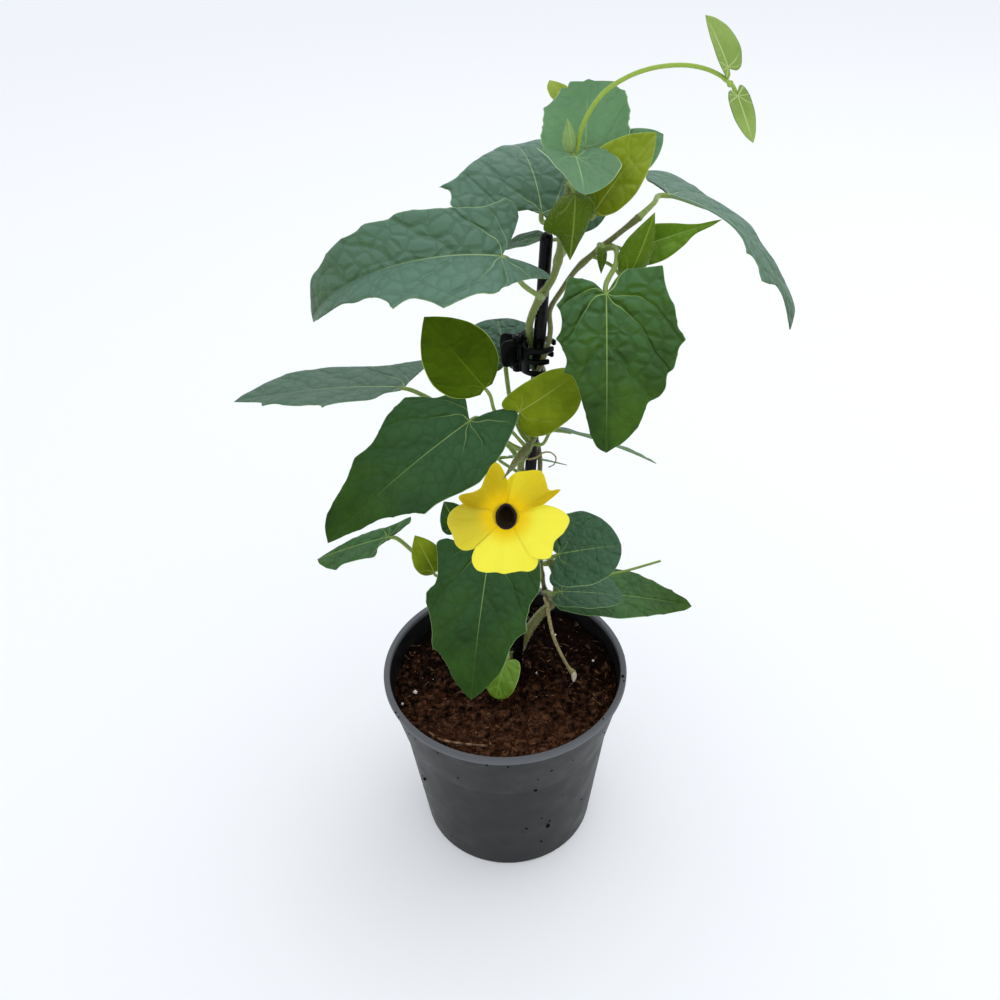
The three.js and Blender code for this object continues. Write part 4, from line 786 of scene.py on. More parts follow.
def blade_part(shape, outline, wide, fold, twist, gap, puff, teeth):
    """Both faces of a blade, closed along its edge; a pair of outlines has one for each side.
    Finishes: 0 for the upper face, 1 for the lower, 3 for the margin."""
    rows = max(6, int(max(wide) * 0.8))
    points, faces, uv, finish = [], [], [], []
    length = shape[5]
    for hand in (1, -1):
        side = 0 if hand > 0 else 1
        half_width = wide[side]
        edge = edge_line(outline[side] if isinstance(outline, tuple) else outline, EDGE_STEPS)
        if teeth:
            edge = toothed(edge, length, half_width, *teeth[side])
        part = np.append(np.linspace(0, 1 - 0.3 / max(wide), rows), 1.0)[None, :]
        anchor = np.maximum(0, edge[:, :1])
        share = anchor + (edge[:, :1] - anchor) * part
        across = hand * half_width * edge[:, 1:] * part
        away = np.clip((1 - part) * np.abs(edge[:, 1:]) * half_width / 2.0, 0, 1)
        puffed = puff * quilting(share * length, across, gap) * (0.35 + 0.65 * away)
        thick = BLADE_HALF_THICKNESS * np.sqrt(np.clip(away * 2.2, 0, 1))
        for face_side in (1, -1):
            start = len(points)
            grid = blade_points(shape, wide, fold, twist, share, across, puffed + face_side * thick)
            points.extend(grid.reshape(-1, 3))
            uv.extend(zip((share * length).ravel(), across.ravel()))
            faces += sheet_faces(start, len(edge) - 1, rows)
            finish += ([0 if face_side > 0 else 1] * (rows - 1) + [3]) * (len(edge) - 1)
    return points, faces, finish, uv


def vein_pattern():
    """Where the veins of a blade run, from its own coordinates in mm."""
    tree, given = new_group(
        "leaf_veins", "ShaderNodeTree",
        {"Blade mm": "Vector", "Side vein gap": "Float", "Cushion size": "Float"},
        {name: "Float" for name in ("Vein", "Midrib", "Hollow", "From petiole", "Quilt")})
    blade = add(tree, "ShaderNodeSeparateXYZ", {0: given["Blade mm"]}).outputs
    out = add(tree, "ShaderNodeMath", {0: blade["Y"]}, operation="ABSOLUTE")
    wander = add(tree, "ShaderNodeTexNoise", {"Vector": given["Blade mm"], "Scale": 0.07,
                                              "Detail": 1.0})
    stray = add(tree, "ShaderNodeMapRange", {0: wander, 1: 0.3, 2: 0.7, 3: -2.2, 4: 2.2})
    bow = add(tree, "ShaderNodeMath", {0: out, 1: out}, operation="MULTIPLY")
    strayed = add(tree, "ShaderNodeMath", {0: blade["X"], 1: stray}, operation="ADD")
    forward = add(tree, "ShaderNodeMath", {0: bow, 1: -VEIN_BOW, 2: strayed},
                  operation="MULTIPLY_ADD")
    side = add(tree, "ShaderNodeMath", {0: out, 1: -VEIN_SLOPE, 2: forward},
               operation="MULTIPLY_ADD")
    half_gap = add(tree, "ShaderNodeMath", {0: given["Side vein gap"], 1: 0.5},
                   operation="MULTIPLY")
    to_side = add(tree, "ShaderNodeMath", {0: side, 1: half_gap}, operation="PINGPONG")
    square_on = add(tree, "ShaderNodeMath", {0: to_side, 1: 0.62}, operation="MULTIPLY")
    angle = add(tree, "ShaderNodeMath", {0: out, 1: forward}, operation="ARCTAN2")
    fan = add(tree, "ShaderNodeMath", {0: angle, 1: math.atan2(1, VEIN_SLOPE)},
              operation="SUBTRACT")
    to_fan = add(tree, "ShaderNodeMath", {0: fan, 1: VEIN_FAN / 2}, operation="PINGPONG")
    radius = add(tree, "ShaderNodeVectorMath", {0: given["Blade mm"]}, operation="LENGTH")
    fan_mm = add(tree, "ShaderNodeMath", {0: to_fan, 1: radius}, operation="MULTIPLY")
    in_lobe = add(tree, "ShaderNodeMath", {0: side, 1: 0.0}, operation="LESS_THAN")
    to_branch = add(tree, "ShaderNodeMix", {0: in_lobe, 2: square_on, 3: fan_mm}, data_type="FLOAT")
    nearest = add(tree, "ShaderNodeMath", {0: to_branch, 1: out}, operation="MINIMUM")
    vein = add(tree, "ShaderNodeMapRange", {0: nearest, 1: 0.04, 2: 0.2, 3: 1.0, 4: 0.0})
    midrib = add(tree, "ShaderNodeMapRange", {0: out, 1: 0.1, 2: 0.3, 3: 1.0, 4: 0.0})
    warp = add(tree, "ShaderNodeVectorMath", {0: wander.outputs[1], 1: (5.0, 5.0, 5.0),
                                              2: given["Blade mm"]}, operation="MULTIPLY_ADD")
    count = add(tree, "ShaderNodeMath", {0: 1.0, 1: given["Cushion size"]}, operation="DIVIDE")
    cells = add(tree, "ShaderNodeTexVoronoi", {"Vector": warp, "Scale": count, "Randomness": 0.9},
                feature="DISTANCE_TO_EDGE")
    veinlet = add(tree, "ShaderNodeMapRange", {0: cells, 1: 0.0, 2: 0.11, 3: 0.7, 4: 0.0},
                  interpolation_type="SMOOTHSTEP")
    furrow = add(tree, "ShaderNodeMapRange", {0: nearest, 1: 0.0, 2: 0.55, 3: 0.8, 4: 0.0},
                 interpolation_type="SMOOTHSTEP")
    hollow = add(tree, "ShaderNodeMath", {0: veinlet, 1: furrow}, operation="MAXIMUM")
    cushion = add(tree, "ShaderNodeMapRange", {0: cells, 1: 0.0, 2: 0.32},
                  interpolation_type="SMOOTHSTEP")
    ridge = add(tree, "ShaderNodeMapRange", {0: nearest, 1: 0.0, 2: 1.8},
                interpolation_type="SMOOTHSTEP")
    ridge = add(tree, "ShaderNodeMath", {0: ridge, 1: 0.5}, operation="MULTIPLY")
    quilt = add(tree, "ShaderNodeMath", {0: cushion, 1: 0.5, 2: ridge}, operation="MULTIPLY_ADD")
    add(tree, "NodeGroupOutput", {0: vein, 1: midrib, 2: hollow, 3: radius, 4: quilt})
    return tree


leaf_veins = vein_pattern()


def leaf_finish(name, deep, fresh, sky_reflection_tone, vein, relief, gap=SIDE_VEIN_GAP, cushion=5.5,
                vein_reach=24.0, roughness=0.5, shine=0.35, under=False, sky_reflection_reach=200.0,
                sky_reflection_tilt=(0.25, 0.9)):
    """Leaf skin: green flesh with a painted sky reflection, a grey-blue tone mixed in where the bumped
    surface faces up, and painted shade in its grooves. Lengths are in mm; the painted reflection fades
    out away from the petiole."""
    finish, tree, shader, millimetres = new_finish(
        name, {"IOR": 1.42, "Specular IOR Level": shine, "Sheen Weight": 0.12 * shine,
               "Sheen Roughness": 0.5, "Sheen Tint": "#dfeef0"})
    blade = add(tree, "ShaderNodeUVMap", uv_map="blade_mm")
    node = add(tree, "ShaderNodeGroup", node_tree=leaf_veins)
    join(node, {"Blade mm": blade, "Side vein gap": gap, "Cushion size": cushion})
    veins = node.outputs
    flesh = mottle(shader, millimetres, deep, fresh, 0.06, 5.0, 0.35, 0.65)[1]
    cushions = add(tree, "ShaderNodeBump", {"Height": veins["Quilt"], "Strength": 1.0,
                                            "Distance": relief / 1000}, invert=under)
    # painted sky reflection: a grey-blue tone mixed in as far as the bumped surface faces up, so the
    # cushions look lit from above
    up = add(tree, "ShaderNodeSeparateXYZ", {0: cushions}).outputs["Z"]
    faces_sky = add(tree, "ShaderNodeMapRange", {0: up, 1: sky_reflection_tilt[0], 2: sky_reflection_tilt[1]},
                    interpolation_type="SMOOTHSTEP")
    reflection_fades = add(tree, "ShaderNodeMapRange", {0: veins["From petiole"],
                                                1: 0.2 * sky_reflection_reach, 2: sky_reflection_reach, 3: 1.0, 4: 0.0})
    sky_reflected = add(tree, "ShaderNodeMath", {0: faces_sky, 1: reflection_fades}, operation="MULTIPLY")
    with_sky_reflection = add(tree, "ShaderNodeMix", {0: sky_reflected, 6: flesh, 7: sky_reflection_tone}, data_type="RGBA")
    # painted shade: the grooves between the cushions and along the side veins are painted deeper green
    groove_shade = add(tree, "ShaderNodeMath", {0: veins["Hollow"], 1: 0.35}, operation="MULTIPLY")
    groove_shaded = add(tree, "ShaderNodeMix", {0: groove_shade, 6: with_sky_reflection, 7: deep}, data_type="RGBA")
    near = add(tree, "ShaderNodeMapRange", {0: veins["From petiole"], 1: 3.0,
                                            2: 0.8 * vein_reach, 3: 0.85, 4: 0.0})
    seen = add(tree, "ShaderNodeMath", {0: near, 1: veins["Vein"]}, operation="MULTIPLY")
    far = add(tree, "ShaderNodeMapRange", {0: veins["From petiole"], 1: 10.0,
                                           2: 2.0 * vein_reach, 3: 0.8, 4: 0.05})
    rib = add(tree, "ShaderNodeMath", {0: veins["Midrib"], 1: far}, operation="MULTIPLY")
    strong = add(tree, "ShaderNodeMath", {0: seen, 1: rib}, operation="MAXIMUM")
    veined = add(tree, "ShaderNodeMix", {0: strong, 6: groove_shaded, 7: vein}, data_type="RGBA")
    fuzz = add(tree, "ShaderNodeTexNoise", {"Vector": millimetres, "Scale": 2.2, "Detail": 2.0})
    satin = add(tree, "ShaderNodeMapRange", {0: fuzz, 1: 0.3, 2: 0.7,
                                             3: roughness - 0.06, 4: roughness + 0.1})
    skin = add(tree, "ShaderNodeBump", {"Height": fuzz, "Strength": 0.3,
                                        "Distance": 0.00008, "Normal": cushions})
    join(shader, {"Base Color": veined, "Roughness": satin, "Normal": skin})
    return finish


# level_leaf is the mature leaf with a dimmer painted sky reflection; hanging_leaf has less painted sky
# reflection and a yellower flesh, for leaves that hang away from the light
mature_leaf = leaf_finish("mature_leaf", "#2a4a20", "#3f6433", "#5b7d69", "#a9c48a", 0.8,
                          sky_reflection_tilt=(-0.5, 1.05))
level_leaf = leaf_finish("level_leaf", "#2a4a20", "#3f6433", "#526f5c", "#a9c48a", 0.8,
                         sky_reflection_tilt=(-0.5, 1.05))
hanging_leaf = leaf_finish("hanging_leaf", "#24420a", "#3c6010", "#4f774c", "#9fbd6a", 1.0,
                           shine=0.2, sky_reflection_reach=48.0, sky_reflection_tilt=(-0.1, 1.1))
shaded_leaf = leaf_finish("shaded_leaf", "#1d3908", "#305214", "#3e6340", "#9ab56c", 0.6, shine=0.12,
                          sky_reflection_reach=60.0, sky_reflection_tilt=(-0.1, 1.1))
pale_margin = leaf_finish("pale_leaf_margin", "#5d7d48", "#73955c", "#86a572", "#9fbb80", 0.1)
young_margin = leaf_finish("young_leaf_margin", "#93a544", "#a9ba5e", "#b3c46c", "#b9c87c", 0.1,
                           shine=0.1)
leaf_underside = leaf_finish("leaf_underside", "#5c7c50", "#6d8c5c", "#6d8c5c", "#a9bf84", 0.4,
                             under=True, vein_reach=50.0, roughness=0.6)


def springing_point(stem, height, place):
    """Where a stalk to this place springs from its stem, near this height."""
    miss = HEIGHT_WEIGHT * np.abs(stem[:, 2] - height) + np.linalg.norm(stem - place, axis=1)
    return stem[np.argmin(miss)]


def grow_leaf(node, outline, junction, tip, wide, stem, height, via=(), roll=0, droop=10,
              fold=4, twist=0, upper=mature_leaf, lower=leaf_underside, gap=SIDE_VEIN_GAP,
              puff=0.55, petiole=petiole_skin, slot="dark_leaf", hairs=2.0, teeth=None,
              margin=pale_margin):
    """One leaf: the blade from its petiole's end to its tip, and the petiole from its stem."""
    shape = blade_frame(junction, tip, roll, droop)
    large = max(wide) > 15
    behind = shape[0] - 3 * shape[1] - 1.2 * shape[3]
    seat = blade_points(shape, wide, fold, twist, 0.02, 0.0, -0.45)
    end = blade_points(shape, wide, fold, twist, 0.2 if large else 0.12, 0.0, -0.42)
    path = smooth_path([springing_point(stem, height, shape[0]), *via, behind, seat, end], 0.7)
    blade_run = 1 - np.linalg.norm(end - seat) / (0.7 * len(path))
    radius = tapered(path, [0, 0.06, 0.2, blade_run - 0.06, blade_run, 1],
                     [1.5, 1.15, 0.92, 0.95, 0.75, 0.3]) * (1.0 if large else 0.75)
    name = node.replace("leaf_", "") + ("_leaf" if node.startswith("leaf_") else "_blade")
    blade = blade_part(shape, outline, wide, fold, twist, gap, puff, teeth)
    leaf = piece_from(name, [blade, tube(path, radius, 10, 2)], [upper, lower, petiole, margin],
                      nodes=[node], crease=50)
    with_hairs(leaf, petiole, per_square_mm=hairs, length=0.7)


mature = {"teeth": SMALL_TEETH}
hanging = {**mature, "upper": hanging_leaf}
shaded = {**mature, "upper": shaded_leaf, "slot": "deep_leaf"}
grow_leaf("leaf_upper_left", UPPER_LEFT_EDGE, (3, -22, 322), (-67, -10.2, 294.5), (17.4, 18.4),
          main_stem, 299, via=[(17, -9, 301), (10, -15, 309)], roll=-44, droop=103, fold=16, twist=1,
          **mature)
grow_leaf("leaf_upper_back", UPPER_BACK_EDGE, (18.6, 12, 324.6), (8, 48, 338.5), (31, 29), main_stem,
          321, via=[(26.5, 0.5, 322.5), (23.5, 7, 323.5)], droop=90, **mature)
grow_leaf("leaf_right_arched", RIGHT_ARCHED_EDGE, (64, 8, 331.6), (116.7, 8, 276), (21.4, 12),
          side_stem, 327.5, via=[(58, 1, 331)], roll=-8, droop=63, fold=(3, -12), twist=31,
          **mature)
grow_leaf("leaf_front_right", FRONT_RIGHT_EDGE, (39, -26, 309), (39, -46, 256), (27, 19), side_stem,
          315, via=[(43.5, -9, 318.5), (43, -17, 316)], droop=16, **hanging)
grow_leaf("leaf_middle_left", MIDDLE_LEFT_EDGE, (-11, -13, 251), (-69.5, -35, 209.3), (25.5, 26),
          main_stem, 229, via=[(5, -6, 235), (-3, -10, 245)], roll=-24, droop=20, **shaded)
grow_leaf("leaf_far_left", FAR_LEFT_EDGE, (-38, 11, 253.5), (-107, 4, 253), (13, 21), main_stem, 222,
          via=[(4, 6, 227), (-16, 10, 240)], droop=16, fold=3, upper=level_leaf, **mature)
grow_leaf("leaf_front_low", FRONT_LOW_EDGE, (-5, -20, 190), (-15, -52, 134), (26, 24), side_stem, 186,
          via=[(10, -10, 189), (2, -16, 193)], droop=18, fold=3, **shaded)
grow_leaf("leaf_low_left", LOW_LEFT_EDGE, (-50, -4, 187), (-81, -10, 180.5), (15, 17), main_stem, 158,
          via=[(10, 9, 157), (-12, 5, 158), (-32, -1, 168)], roll=-8, **hanging)
grow_leaf("leaf_low_right", ARROW, (36, 9, 140), (90, 2, 135), (17, 17), main_stem, 137,
          roll=4, droop=12, fold=5, **{**hanging, "teeth": COARSE_TEETH})

# ---------------------------------------------------------------- round and small leaves
# The lower and inner leaves are rounder, smaller and smoother-edged, in the shade of the others.
ROUND = [(-8, 14), (-15, 44), (-10, 78), (6, 96), (26, 100), (48, 98), (68, 86), (85, 60), (96, 28)]
OVATE = [(-2, 22), (6, 58), (20, 88), (40, 100), (60, 88), (78, 60), (91, 28)]
NARROW_EDGE = (
    [(8, 20), (17, 73), (21, 77), (41, 57), (62, 26), (74, 13), (88, 7)],
    [(4, 40), (0, 52), (1, 72), (17, 75), (28, 70), (49, 47), (66, 20), (86, 11)])
LANCE = [(5, 45), (22, 95), (45, 100), (70, 60), (88, 24)]
SMALL_VEIN_GAP = 11.0
small_veins = {"gap": SMALL_VEIN_GAP, "cushion": 4.0, "vein_reach": 14.0}
small_shaded_leaf = leaf_finish("small_shaded_leaf", "#264816", "#355b23", "#42654a", "#8cab62",
                                0.8, shine=0.2, **small_veins)
small_mature_leaf = leaf_finish("small_mature_leaf", "#2b4a22", "#3a5a30", "#4d6e5c", "#8fab72",
                                0.9, **small_veins)
small_shaded = {"upper": small_shaded_leaf, "gap": SMALL_VEIN_GAP, "slot": "deep_leaf"}
small_mature = {"upper": small_mature_leaf, "gap": SMALL_VEIN_GAP}

grow_leaf("leaf_right_of_bloom", ROUND, (25, -9, 178.5), (53, -7, 181), (20, 18), side_stem, 172,
          roll=20, droop=12, fold=2, puff=0.35, **small_shaded)
grow_leaf("leaf_right_under", ROUND, (26.5, -7.5, 155), (55.3, -6.5, 150), (17, 11), side_stem,
          148, droop=14, fold=2, puff=0.35, **small_shaded)
grow_leaf("leaf_behind_clip", ROUND, (4, 14, 261), (1, 32, 273), (17, 15), main_stem, 234,
          via=[(9.5, -1.5, 238), (6, 5, 246)], droop=50, puff=0.35, **small_mature)
grow_leaf("leaf_right_edge_on", OVATE, (25, -3, 239.5), (66, -4, 222), (14, 14), main_stem, 234,
          via=[(18, -6.5, 235)], roll=-28, droop=12, puff=0.35, **small_mature)
grow_leaf("leaf_behind_cane", LANCE, (3, 11, 218), (30, 10, 213), (6, 6), main_stem, 214,
          roll=-30, puff=0.2, **small_mature)
grow_leaf("leaf_beside_bloom", OVATE, (-19.3, 2, 185), (-24.5, 1, 202), (7, 7), main_stem, 188,
          via=[(6, 7, 186), (-8, 4, 181)], roll=-65, fold=8, puff=0.2, **small_shaded)
grow_leaf("leaf_under_cane_top", OVATE, (19.5, 10, 316), (2, 14, 310), (8, 8), main_stem, 313,
          via=[(26.5, 0, 314.5), (24.5, 7.5, 316)], droop=20, puff=0.2, **small_shaded)

# ---------------------------------------------------------------- young leaves
# Leaves that have just opened: thin, soft and yellow-green, with a weak painted sky reflection and faint
# veins.
HEART = [(-8, 14), (-16, 42), (-12, 74), (4, 95), (20, 100), (38, 97), (57, 82), (74, 60), (88, 34)]
APEX_FRONT_EDGE = (
    [(-16, 8), (-28, 25), (-33, 50), (-28, 77, 1), (-10, 86), (8, 94), (23, 100), (51, 83), (76, 57),
     (94, 25)],
    [(-10, 10), (-13, 30), (-12, 75), (-15, 95, 1), (-1, 82), (27, 67), (53, 47), (89, 23)])
faint_veins = {"gap": SMALL_VEIN_GAP, "cushion": 5.0, "vein_reach": 12.0}
young_leaf = leaf_finish("young_leaf", "#5f7008", "#80931a", "#8ea23c", "#a3b35a", 0.3,
                         roughness=0.42, shine=0.08, **faint_veins)
deep_young_leaf = leaf_finish("deep_young_leaf", "#334601", "#455c02", "#4d680c", "#6d8222", 0.2,
                              roughness=0.4, shine=0.05, **faint_veins)
fresh_leaf = leaf_finish("fresh_leaf", "#4a6a0c", "#64881e", "#7ba044", "#94ac5c", 0.25,
                         roughness=0.42, shine=0.08, **faint_veins)
young_underside = leaf_finish("young_leaf_underside", "#6c8430", "#7f9640", "#7f9640", "#a3b56a",
                              0.15, gap=SMALL_VEIN_GAP, cushion=4.0, under=True, shine=0.2)
pale_leaf = leaf_finish("pale_top_leaf", "#64905e", "#76a472", "#587c5a", "#93b67c", 0.5,
                        gap=SMALL_VEIN_GAP, cushion=4.0, vein_reach=8.0, roughness=0.55, shine=0.3,
                        sky_reflection_tilt=(-0.2, 1.3))
downy_margin = leaf_finish("downy_leaf_margin", "#8fb07c", "#a2c08e", "#b4cda4", "#c8dab2", 0.1)
shoot_leaf = leaf_finish("shoot_leaf", "#83a04c", "#98b45c", "#9fb878", "#c3d290", 0.3, gap=6.0,
                         cushion=2.5, vein_reach=8.0, roughness=0.6, shine=0.2)
APEX_ROUND_EDGE = (
    [(-8, 14), (-15, 44), (-12, 80), (6, 98), (18, 100, 1), (30, 97), (50, 95), (56, 97, 1), (66, 80),
     (80, 62), (86, 60, 1), (88, 45), (97, 40, 1), (95, 20)],
    [(-8, 14), (-15, 44), (-10, 80), (6, 98), (26, 102, 1), (36, 98), (50, 100), (68, 94), (85, 86, 1),
     (88, 70), (97, 60, 1), (94, 40), (97, 20, 1)])
young = {"upper": young_leaf, "lower": young_underside, "gap": SMALL_VEIN_GAP, "puff": 0.15,
         "slot": "young_leaf", "margin": young_margin}
pale = {"upper": pale_leaf, "lower": young_underside, "gap": SMALL_VEIN_GAP, "puff": 0.25,
        "slot": "pale_leaf", "margin": downy_margin}
new_tip = {"upper": shoot_leaf, "lower": shoot_leaf, "gap": 5.0, "puff": 0.12,
           "petiole": shoot_skin, "slot": "young_leaf"}

grow_leaf("leaf_bright_oval", OVATE, (-4.5, -12, 265), (-26.7, -2, 291), (15, 14.5), main_stem,
          231, via=[(7, -7, 240), (-1, -11, 254)], roll=-40, droop=-10, fold=6,
          **{**young, "upper": deep_young_leaf})
grow_leaf("leaf_round_folded", ROUND, (8.6, -12.6, 254.6), (31.5, -11.5, 271), (9.5, 14), main_stem,
          236, via=[(9.5, -8, 245)], roll=84, droop=20, fold=8, **young)
grow_leaf("leaf_small_left", OVATE, (-30, -12, 173), (-37, -12, 194), (7, 7), side_stem, 160,
          via=[(6, -9, 160), (-12, -11, 162)], roll=-65, droop=10, fold=10, **young)
grow_leaf("leaf_narrow_folded", NARROW_EDGE, (53, -7.5, 318.5), (79.8, -13, 329.5), (8, 10), side_stem,
          318, via=[(47, -6, 317)], roll=72, droop=-10, fold=14, **{**young, "upper": fresh_leaf})
grow_leaf("leaf_apex_bright", OVATE, (35.8, -10, 332.6), (56, -6, 357.4), (12.5, 9), main_stem, 330,
          via=[(32, -8, 331)], roll=40, droop=20, fold=6, **young)
grow_leaf("leaf_apex_back", OVATE, (27.5, 18, 361), (22, 26, 367.5), (5, 5), main_stem, 343,
          via=[(27, 6, 345), (25, 14, 351)], droop=10, fold=8, **young)
grow_leaf("leaf_apex_round", APEX_ROUND_EDGE, (33.3, 4, 350.5), (34.5, 13, 370.5), (16, 15),
          main_stem, 348, droop=6, fold=-3, teeth=((3.2, 0.5), (3.5, 0.5)), **pale)
grow_leaf("leaf_apex_front", APEX_FRONT_EDGE, (28.8, -10, 351), (30.6, -26, 343.8), (15, 14),
          main_stem, 343, via=[(29.5, -8, 346)], roll=-8, droop=18, fold=5, **pale)
grow_leaf("leaf_apex_right", HEART, (46, 3, 346), (61, 9, 352.5), (8, 8), main_stem, 338,
          via=[(37, 1, 342)], roll=50, droop=10, fold=4, **pale)
grow_leaf("leaf_shoot_up", HEART, (76, -12.5, 378.5), (67, -14, 394), (3.2, 6.2), shoot, 375,
          roll=-65, droop=8, fold=14, **new_tip)
grow_leaf("leaf_shoot_down", HEART, (80, -13, 370), (86.5, -15, 355.5), (3.6, 3.8), shoot, 373.5,
          roll=65, droop=8, fold=14, **new_tip)
grow_leaf("leaf_pale_low", ROUND, (0.5, -3.8, 107), (-5, -13.5, 92), (10, 8), base_stem, 104,
          via=[(1.5, 2.5, 106.5)], droop=20, fold=14,
          **{**young, "upper": fresh_leaf, "slot": "bract"})
grow_leaf("bract_narrow", LANCE, (13.6, -9.4, 238.8), (1, -52, 249.5), (2, 2), main_stem, 233,
          droop=-6, fold=20, upper=side_stem_skin, lower=side_stem_skin, petiole=side_stem_skin,
          gap=5.0, puff=0.0, slot="brown_stem", hairs=1.0)

# ---------------------------------------------------------------- bloom
# One open bloom: five broad petals, wavy and notched at their rims, that grow together into a
# narrow tube. Their skin is velvety, and the throat is a dark purple, almost black, eye.
FLOWER_CENTRE = np.array([2.1, -48, 230])
FLOWER_FACING = np.array([-0.05, -0.88, 0.47])
THROAT_RADIUS = 4.5
TUBE_LENGTH = 21
PETAL_SIZE = 0.97
PETAL_FOOT_SPREAD = 76       # degrees of the throat that a petal's foot takes up
PETAL_HALF_THICKNESS = 0.22
PETALS = [
    (54, 4.5, [(88, 14.5), (77, 18.2), (66, 20), (53, 22.8), (42, 21.0), (33, 20.2), (28.5, 24),
               (24, 19), (20, 15)]),
    (126, 6.0, [(164, 16), (155, 19.8), (140, 16), (127, 15.4), (113, 18.6), (98, 22), (85, 13.5)]),
    (195, -0.5, [(230, 16), (221, 21), (211, 23), (198, 22.3), (185, 23.2), (172, 20.8),
                 (159, 15.5)]),
    (268, -1.2, [(313, 17.0), (306, 21.5), (299, 23.7), (292, 24.0), (285, 23.0), (276, 22.6),
                 (268, 23.0), (260, 22.9), (250, 24.0), (240, 24.0), (231, 21.5), (226, 17.5)]),
    (340, -0.8, [(379, 13.5), (369, 20.2), (358, 24.6), (346, 23.6), (332, 21.4), (316, 23.5),
                 (301, 18.5)]),
]
flower_out = FLOWER_FACING / np.linalg.norm(FLOWER_FACING)
flower_right = np.cross((0, 0, 1), flower_out)
flower_right /= np.linalg.norm(flower_right)
flower_up = np.cross(flower_out, flower_right)


def flower_points(radius, degrees, lift):
    """Points round the bloom's middle; lift is towards its face."""
    turn = np.radians(degrees)
    return (FLOWER_CENTRE + flower_right * (radius * np.cos(turn))[..., None]
            + flower_up * (radius * np.sin(turn))[..., None]
            + flower_out * (lift + 0 * turn)[..., None])


def petal_part(foot, cup, rim, seed):
    """Front and back of one petal, from the throat to its wavy rim."""
    wide, long = 48, 26
    rim_line = smooth_path([(d, r, 0) for d, r in rim], 0.4)
    pick = np.linspace(0, len(rim_line) - 1, wide + 1)
    rim_degrees = np.interp(pick, np.arange(len(rim_line)), rim_line[:, 0])[:, None]
    rim_radius = np.interp(pick, np.arange(len(rim_line)), rim_line[:, 1])[:, None]
    side = np.linspace(-1, 1, wide + 1)[:, None]
    part = np.linspace(0, 1, long + 1)[None, :]
    inner = THROAT_RADIUS - 0.4
    radius = inner + (PETAL_SIZE * rim_radius - inner) * part
    foot_degrees = foot - side * PETAL_FOOT_SPREAD / 2
    degrees = foot_degrees + (rim_degrees - foot_degrees) * np.sqrt(part)
    layer = 1.2 * side * part
    ripple = 0.6 * part * np.cos(3 * math.pi * side)
    pleat = 0.22 * part ** 2 * np.sin(9 * side + seed) + 0.1 * np.sin(24 * side + 2 * seed) * part
    dip = -0.5 * np.exp(-((part - 0.15) / 0.12) ** 2)
    lift = cup * part ** 2 + layer + ripple + pleat + dip - 0.6 * (1 - part)
    room = np.minimum(1 - part, (1 - np.abs(side)) * 1.5)
    thick = PETAL_HALF_THICKNESS * np.sqrt(np.clip(room * 9, 0, 1))
    points, faces, finish, uv = [], [], [], []
    for face_side in (1, -1):
        start = len(points)
        grid = flower_points(radius, degrees, lift + face_side * thick)
        points.extend(grid.reshape(-1, 3))
        uv.extend(zip(radius.ravel(), (side * 10 + 0 * part + foot).ravel()))
        faces += sheet_faces(start, wide, long)
        finish += [0 if face_side > 0 else 1] * (wide * long)
    return points, faces, finish, uv


def petal_finish(name, inner, outer, rim):
    """Petal skin: tiny domed cells scatter the light, so it looks like velvet without gloss. Each petal
    is painted its own tone of light and shade.
    """
    finish, tree, shader = new_finish(
        name, {"Roughness": 0.62, "Specular IOR Level": 0.08, "Subsurface Weight": 0.35,
               "Subsurface Radius": (1.0, 0.8, 0.1), "Subsurface Scale": 0.0015})[:3]
    place = add(tree, "ShaderNodeUVMap", uv_map="blade_mm")
    petal = add(tree, "ShaderNodeSeparateXYZ", {0: place}).outputs
    deep = add(tree, "ShaderNodeMapRange", {0: petal["X"], 1: 5.0, 2: 13.0},
               interpolation_type="SMOOTHSTEP")
    # round the bloom from petal to petal: painted light and shade, the upper two painted deeper and the
    # left one duller as if in shade, the lower ones painted brighter
    turn = add(tree, "ShaderNodeMath", {0: petal["Y"], 1: 400.0}, operation="DIVIDE")
    painted_petal_light = add(tree, "ShaderNodeValToRGB", {0: turn})
    ramp = painted_petal_light.color_ramp.elements
    ramp.remove(ramp[1])
    ramp[0].position = 0.11
    ramp[0].color = linear(outer[0])
    for position, colour in zip((0.16, 0.29, 0.34, 0.46, 0.515, 0.64), outer[1:]):
        ramp.new(position).color = linear(colour)
    body = add(tree, "ShaderNodeMix", {0: deep, 6: inner, 7: painted_petal_light}, data_type="RGBA")
    stretched = add(tree, "ShaderNodeVectorMath", {0: place, 1: (0.12, 1.0, 1.0)},
                    operation="MULTIPLY")
    ray = add(tree, "ShaderNodeTexNoise", {"Vector": stretched, "Scale": 1.4, "Detail": 4.0})
    streak = add(tree, "ShaderNodeMapRange", {0: ray, 1: 0.4, 2: 0.75, 4: 0.1})
    rayed = add(tree, "ShaderNodeMix", {0: streak, 6: body, 7: rim}, data_type="RGBA")
    veins = add(tree, "ShaderNodeBump", {"Height": ray, "Strength": 0.2, "Distance": 0.0002})
    join(shader, {"Base Color": rayed, "Normal": veins})
    return finish


# painted light and shade, one tone for each petal round the bloom: the upper two deeper, the left one
# duller, the lower ones brighter
PETAL_LIGHT_AND_SHADE = ["#f0de30", "#c4ab10", "#a89204", "#cfba14", "#e4d63a", "#ada02c", "#fff24a"]
petal_velvet = petal_finish("petal_velvet", "#f4ca00", PETAL_LIGHT_AND_SHADE, "#fbf060")
petal_back = petal_finish("petal_back", "#d6c234", ["#e6d94c"] * 7, "#eee57a")

